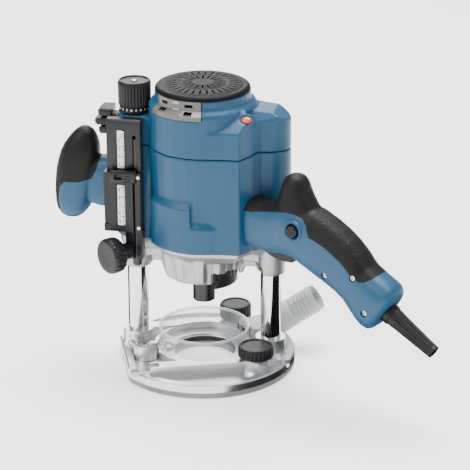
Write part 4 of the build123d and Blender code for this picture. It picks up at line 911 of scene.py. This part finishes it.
# ---------------------------------------------------------------- left handle
# A palm grip: blue core bolted to the tower, with an overmoulded black elastomer
# over its top and down its outer side.
soft_black = moulded("soft_black", (0.008, 0.008, 0.008), 0.50, grain=1900.0, depth=0.05, change=0.15,
                     Specular_IOR_Level=0.18)
PALM = ((145.6, -134.0, -127.0, 4.5), (147.2, -138.3, -122.5, 8.5), (150.5, -142.0, -118.0, 12.0),
        (156.0, -145.2, -113.5, 15.0), (163.0, -146.4, -110.2, 16.5), (174.0, -146.8, -108.0, 17.0),
        (186.0, -146.2, -106.3, 17.0), (196.0, -145.0, -104.6, 16.9), (206.0, -142.8, -103.0, 16.6),
        (214.0, -140.2, -102.0, 15.8), (222.0, -136.2, -102.3, 14.2), (229.0, -131.0, -104.4, 12.0),
        (234.5, -126.0, -107.2, 9.2), (238.0, -121.6, -111.0, 5.6), (239.2, -118.6, -114.0, 2.6))


def pillow(centre, first, second, power, steps=36):
    """A rounded-off oblong section about a centre, between an ellipse and a box."""
    ring = []
    for i in range(steps):
        c, s = cos(2 * pi * i / steps), sin(2 * pi * i / steps)
        ring.append(Vector(centre) + Vector(first) * (abs(c) ** power * (1 if c > 0 else -1))
                    + Vector(second) * (abs(s) ** power * (1 if s > 0 else -1)))
    return ring


def palm_shape(grow=0.0):
    body = stacked("palm", [pillow(((a + b) / 2, 0, z), ((b - a) / 2 + grow, 0, 0), (0, w + grow, 0), 0.82)
                            for z, a, b, w in PALM])
    joined(body, stacked("palm_neck", [pillow((x, 0, z), (0, 0, h + grow), (0, w + grow, 0), 0.62)
                                       for x, z, h, w in ((-80.0, 185, 26.5, 16.2), (-92.0, 185, 26.0, 15.6),
                                                          (-101.0, 184.5, 25.0, 14.2), (-112.0, 184, 22.0, 12.0))]))
    return softened(body, 1.25, 6)


def grip_side(low_y, high_y):
    """What the elastomer covers, seen from the side."""
    return [(-160, low_y, 140), (-160, low_y, 250), (-90, low_y, 250), (-90, low_y, 212.5), (-99.4, low_y, 212),
            (-103.0, low_y, 199), (-108, low_y, 189.5), (-120, low_y, 186.5), (-134, low_y, 186), (-139.5, low_y, 180),
            (-141.5, low_y, 165), (-138.5, low_y, 151), (-135, low_y, 140)]


palm_blue = palm_shape()
palm_black = palm_blue.copy()
palm_black.data = palm_blue.data.copy()
palm_black.name = "palm_grip"
bpy.context.scene.collection.objects.link(palm_black)
cut(palm_blue, slab("grip_cover", grip_side(-30, 30), (0, 60, 0)))
cut(palm_blue, stacked("tower_gap", [ring_of(HEAD_PLAN, z, g) for z, g in ((130.0, 2.4), (179.0, 2.4), (179.5, 0.4),
                                                                             (240.0, 0.4))]))
palm_blue.name = "palm_core"
fitted(smoothed(palm_blue, 40), "head", blue, "blue_plastic", "left_handle")
kept(palm_black, slab("grip_cover", grip_side(-30, 30), (0, 60, 0)))
fitted(smoothed(palm_black, 40), "head", soft_black, "soft_grip", "left_grip")

# ---------------------------------------------------------------- switch handle
# Two blue half shells meet on the handle's middle plane; the horn and the back of
# the grip are overmoulded black, with a pebbled panel along the palm.
HANDLE_TURN = radians(-27.0)
OUT = Vector((cos(HANDLE_TURN), sin(HANDLE_TURN), 0))
ACROSS = Vector((sin(HANDLE_TURN), -cos(HANDLE_TURN), 0))


def on_handle(reach, height, across=0.0):
    """A point in the handle's own plane; across runs towards its near face."""
    return OUT * reach + ACROSS * across + UP * height


def handle_section(top, bottom, half, power=0.72):
    """A section of the handle between a top and a bottom point of its outline."""
    middle = on_handle((top[0] + bottom[0]) / 2, (top[1] + bottom[1]) / 2)
    return pillow(middle, (on_handle(*top) - on_handle(*bottom)) / 2, ACROSS * half, power, 44)


body = stacked("handle", [handle_section(*s) for s in (
    ((60, 184), (60, 141), 16.5, 0.6), ((74, 186), (76, 139), 17.5, 0.6), ((88, 190), (92, 140), 19.0),
    ((102, 196), (104, 140.5), 20.0), ((118, 194.5), (114, 139.5), 20.0), ((136, 191.5), (124, 134.5), 19.8),
    ((152, 185.3), (138, 128.2), 19.4), ((165, 178.6), (150, 123), 19.0), ((177, 170.5), (161, 117.8), 18.6),
    ((187, 161), (171, 111.5), 18.6), ((195, 151), (179, 103.5), 19.2), ((206, 144.5), (186, 96), 20.0),
    ((216, 139.6), (192, 91.4), 20.0), ((222.5, 135.5), (198.5, 90), 19.2, 0.66), ((225, 130), (203, 92), 17.0, 0.66),
    ((225.0, 125.5), (206.3, 96.5), 13.5, 0.66))])
horn = stacked("horn", [pillow(on_handle((a + b) / 2, z), OUT * (b - a) / 2, ACROSS * w, 0.85, 44)
                        for z, a, b, w in ((180, 84, 138, 17.5), (190, 88.5, 134.5, 16.5), (199, 93, 128.6, 14.8),
                                           (207, 95.8, 124.2, 13.6), (213, 97.6, 122.0, 12.4), (217.5, 100, 119.4, 10.4),
                                           (220.2, 103.5, 116, 7.2), (221, 107, 112.5, 3.6))])
joined(body, horn)
# fairing that spreads on to the barrel's side
joined(body, stacked("fairing", [pillow(on_handle(r, 163), UP * h, ACROSS * w, 0.6, 44)
                                 for r, h, w in ((52, 25, 18.5), (66, 24, 18.5), (80, 23.5, 18.6), (92, 23, 19.2))]))
softened(body, 1.25, 5)
barrel_room = stacked("barrel_room", [ring_of(HEAD_PLAN, z, 2.0 if z < 160 else 0.9) for z in (120, 150, 172, 240)])
cut(body, barrel_room)
cut(body, turned("boot_seat", [(0, -2), (10.4, -2), (10.4, 3.4), (8.9, 3.4), (8.9, 16), (0, 16)],
                 on_handle(211.5, 111.0) - (on_handle(265, 82) - on_handle(211.5, 111)).normalized() * 0.2,
                 on_handle(265, 82) - on_handle(211.5, 111), 48))

BUTTON = (119.4, 172.1)


def covered(low, high):
    """The overmoulded area, seen from the side, pulled across the handle."""
    edge = [(40, 178), (70, 179), (84, 182), (98, 185.4), (108, 187.4), (119, 187.6), (128, 185.2), (133.6, 180.4),
            (135.8, 173.5), (137.4, 169.6), (144, 168.0), (156.8, 162.8), (173.7, 152.2), (183.0, 143.6),
            (187.6, 140.4), (193, 139.0), (198.2, 139.6), (204.6, 143.4), (212, 152), (240, 190), (240, 260), (40, 260)]
    return slab("grip_cover", [on_handle(r, z, low) for r, z in edge], ACROSS * (high - low))


grip = body.copy()
grip.data = body.data.copy()
grip.name = "handle_grip"
bpy.context.scene.collection.objects.link(grip)
kept(grip, covered(-30, 30))
cut(body, covered(-30, 30))
trigger_room = [(66, 160), (66, 130), (112, 128), (118.5, 138), (116, 148), (101, 159)]
cut(body, slab("trigger_room", [on_handle(r, z, -9) for r, z in trigger_room], ACROSS * 18))
cut(body, bar("button_well", on_handle(*BUTTON, 6.0), ACROSS, 7.2, 30, 40))
SHELL_SCREWS = ((154, 135, 14.4), (200, 110, 17.0), (186, 141, 16.6))
for reach, rise, across in SHELL_SCREWS:
    cut(body, bar("screw_well", on_handle(reach, rise, across - 1.4), ACROSS, 3.4, 20, 28))
cut(grip, bar("screw_well", on_handle(186, 141, 15.2), ACROSS, 3.4, 20, 28))
recess = [on_handle(r, z, 16.2) for r, z in ((188.9, 159.9), (195.4, 155.2), (201.1, 150.2), (197.4, 147.4), (191.6, 151.6))]
cut(grip, slab("screw_recess", recess, ACROSS * 10))
# blue bead round the lock-on button
bead = turned("button_bead", [(7.3, 12), (10.2, 12), (10.9, 18.6), (10.2, 20.6), (8.6, 21.0), (7.3, 20.0), (7.3, 12)],
              on_handle(*BUTTON), ACROSS, 48)
joined(body, bead)
far = body.copy()
far.data = body.data.copy()
far.name = "handle_shell_far"
bpy.context.scene.collection.objects.link(far)
body.name = "handle_shell_near"
halves = [on_handle(r, z, 0.06) for r, z in ((30, 60), (260, 60), (260, 250), (30, 250))]
kept(body, slab("near_half", halves, ACROSS * 60))
kept(far, slab("far_half", [p - ACROSS * 0.12 for p in halves], ACROSS * -60))
fitted(smoothed(body, 40), "head", blue, "blue_plastic", "right_handle_front")
fitted(smoothed(far, 40), "head", blue, "blue_plastic", "right_handle_back")
pebbled = Finish("pebbled_grip", (0.011, 0.011, 0.011), 0.50, Specular_IOR_Level=0.18)
cells = pebbled.node("ShaderNodeTexVoronoi", {}, {"Vector": pebbled.place, "Scale": 620.0})
flow = pebbled.grain(60.0, 3.0)
pebbled.feed("Base Color", pebbled.mixed(flow, (0.006, 0.006, 0.006), (0.012, 0.012, 0.0115)))
pebbled.feed("Roughness", pebbled.grain(140.0, 3.0) * 0.2 + 0.38)
along = pebbled.node("ShaderNodeVectorMath", {"operation": "DOT_PRODUCT"}, {0: pebbled.place, 1: tuple(OUT)}, 1)
panel = (pebbled.node("ShaderNodeMath", {"operation": "GREATER_THAN"}, {0: along, 1: 0.137})
         * pebbled.node("ShaderNodeMath", {"operation": "LESS_THAN"}, {0: along, 1: 0.187}))
pebbled.bump(cells * panel * 0.9 + pebbled.grain(1900.0) * 0.12, 0.45)
fitted(smoothed(grip, 40), "head", pebbled.material, "soft_grip", "right_grip")
for reach, rise, across in SHELL_SCREWS:
    screw = turned("shell_screw", [(0, 0), (2.9, 0), (3.0, 1.2), (2.4, 2.0), (1.5, 2.1), (1.4, 0.9), (0, 0.9)],
                   on_handle(reach, rise, across - 1.0), ACROSS, 30)
    fitted(smoothed(screw), "head", bright_steel, "steel")

# ---------------------------------------------------------------- trigger, lock-on button and boot
paddle = [(73, 157), (71.6, 146), (77, 138.6), (87, 134.2), (100, 132.6), (110.5, 133.6), (113.6, 138.4), (110.5, 145.5),
          (102, 152.5), (92, 157)]
trigger = stacked("trigger", [[on_handle(90 + (r - 90) * s, 146 + (z - 146) * s, a) for r, z in paddle]
                              for a, s in ((-7.6, 0.9), (-6.4, 1.0), (6.4, 1.0), (7.6, 0.9))])
cut(trigger, bar("pin_hole", on_handle(78, 151, -12), ACROSS, 2.06, 24, 24))
fitted(eased(trigger, 0.8, 2, 30), "trigger", black_plastic, "black_plastic", "trigger")
button = turned("lock_button", [(0, 10), (6.0, 10), (6.0, 20.4), (5.2, 21.6), (3.6, 22.0), (0, 21.6)], on_handle(*BUTTON),
                ACROSS, 48)
for step in (-2.4, 0.0, 2.4):
    low = on_handle(BUTTON[0] - 4, BUTTON[1] + step - 0.4, 21.3)
    cut(button, slab("button_line", [low, low + OUT * 8, low + OUT * 8 + UP * 0.8, low + UP * 0.8], ACROSS * 2))
fitted(smoothed(button), "lock_button", black_plastic, "black_plastic", "lock_on_button")
BOOT_FROM = on_handle(211.5, 111.0)
BOOT_AIM = (on_handle(265.0, 82.0) - BOOT_FROM).normalized()
BOOT_LENGTH = (on_handle(265.0, 82.0) - BOOT_FROM).length
boot_black = moulded("boot_black", (0.009, 0.009, 0.010), 0.45, grain=2000.0, depth=0.03, Specular_IOR_Level=0.3)


def boot_ring(radius, depth, h):
    return fluted_ring(BOOT_FROM, radius, depth, 10, h, BOOT_AIM, 6)


boot = stacked("cord_boot", [boot_ring(r, d, h) for r, d, h in (
    (8.5, 0.0, 0.0), (8.5, 0.0, 3.6), (9.9, 0.0, 3.9), (10.0, 0.0, 9.2), (9.4, 0.0, 10.0), (8.9, 0.0, 10.2),
    (8.8, 0.0, 14.0), (8.4, 0.9, 17.0), (7.0, 1.2, BOOT_LENGTH - 16), (6.5, 1.0, BOOT_LENGTH - 5),
    (6.3, 0.0, BOOT_LENGTH - 2.5), (6.4, 0.0, BOOT_LENGTH))])
cut(boot, bar("lead_bore", BOOT_FROM + BOOT_AIM * (BOOT_LENGTH + 1), -BOOT_AIM, 4.0, 41, 32))
fitted(smoothed(boot, 38), "head", boot_black, "black_plastic", "cord_boot")

# ---------------------------------------------------------------- motor
# Stacked laminations, varnished windings and carbon brushes, all inside the barrel.
laminations = metal("laminations", (0.30, 0.30, 0.31), 0.45, grain=900.0, depth=0.05, stretch=(0.02, 0.02, 2.2))
copper = metal("copper", (0.62, 0.27, 0.13), 0.35, grain=1500.0, depth=0.06, stretch=(1, 1, 3))
graphite = moulded("graphite", (0.045, 0.045, 0.047), 0.55, grain=1500.0, depth=0.02)
painted(laminations, "armature_core", "field_core")
painted(copper, "armature_windings", "field_coils", "commutator")
painted(graphite, "carbon_brushes")
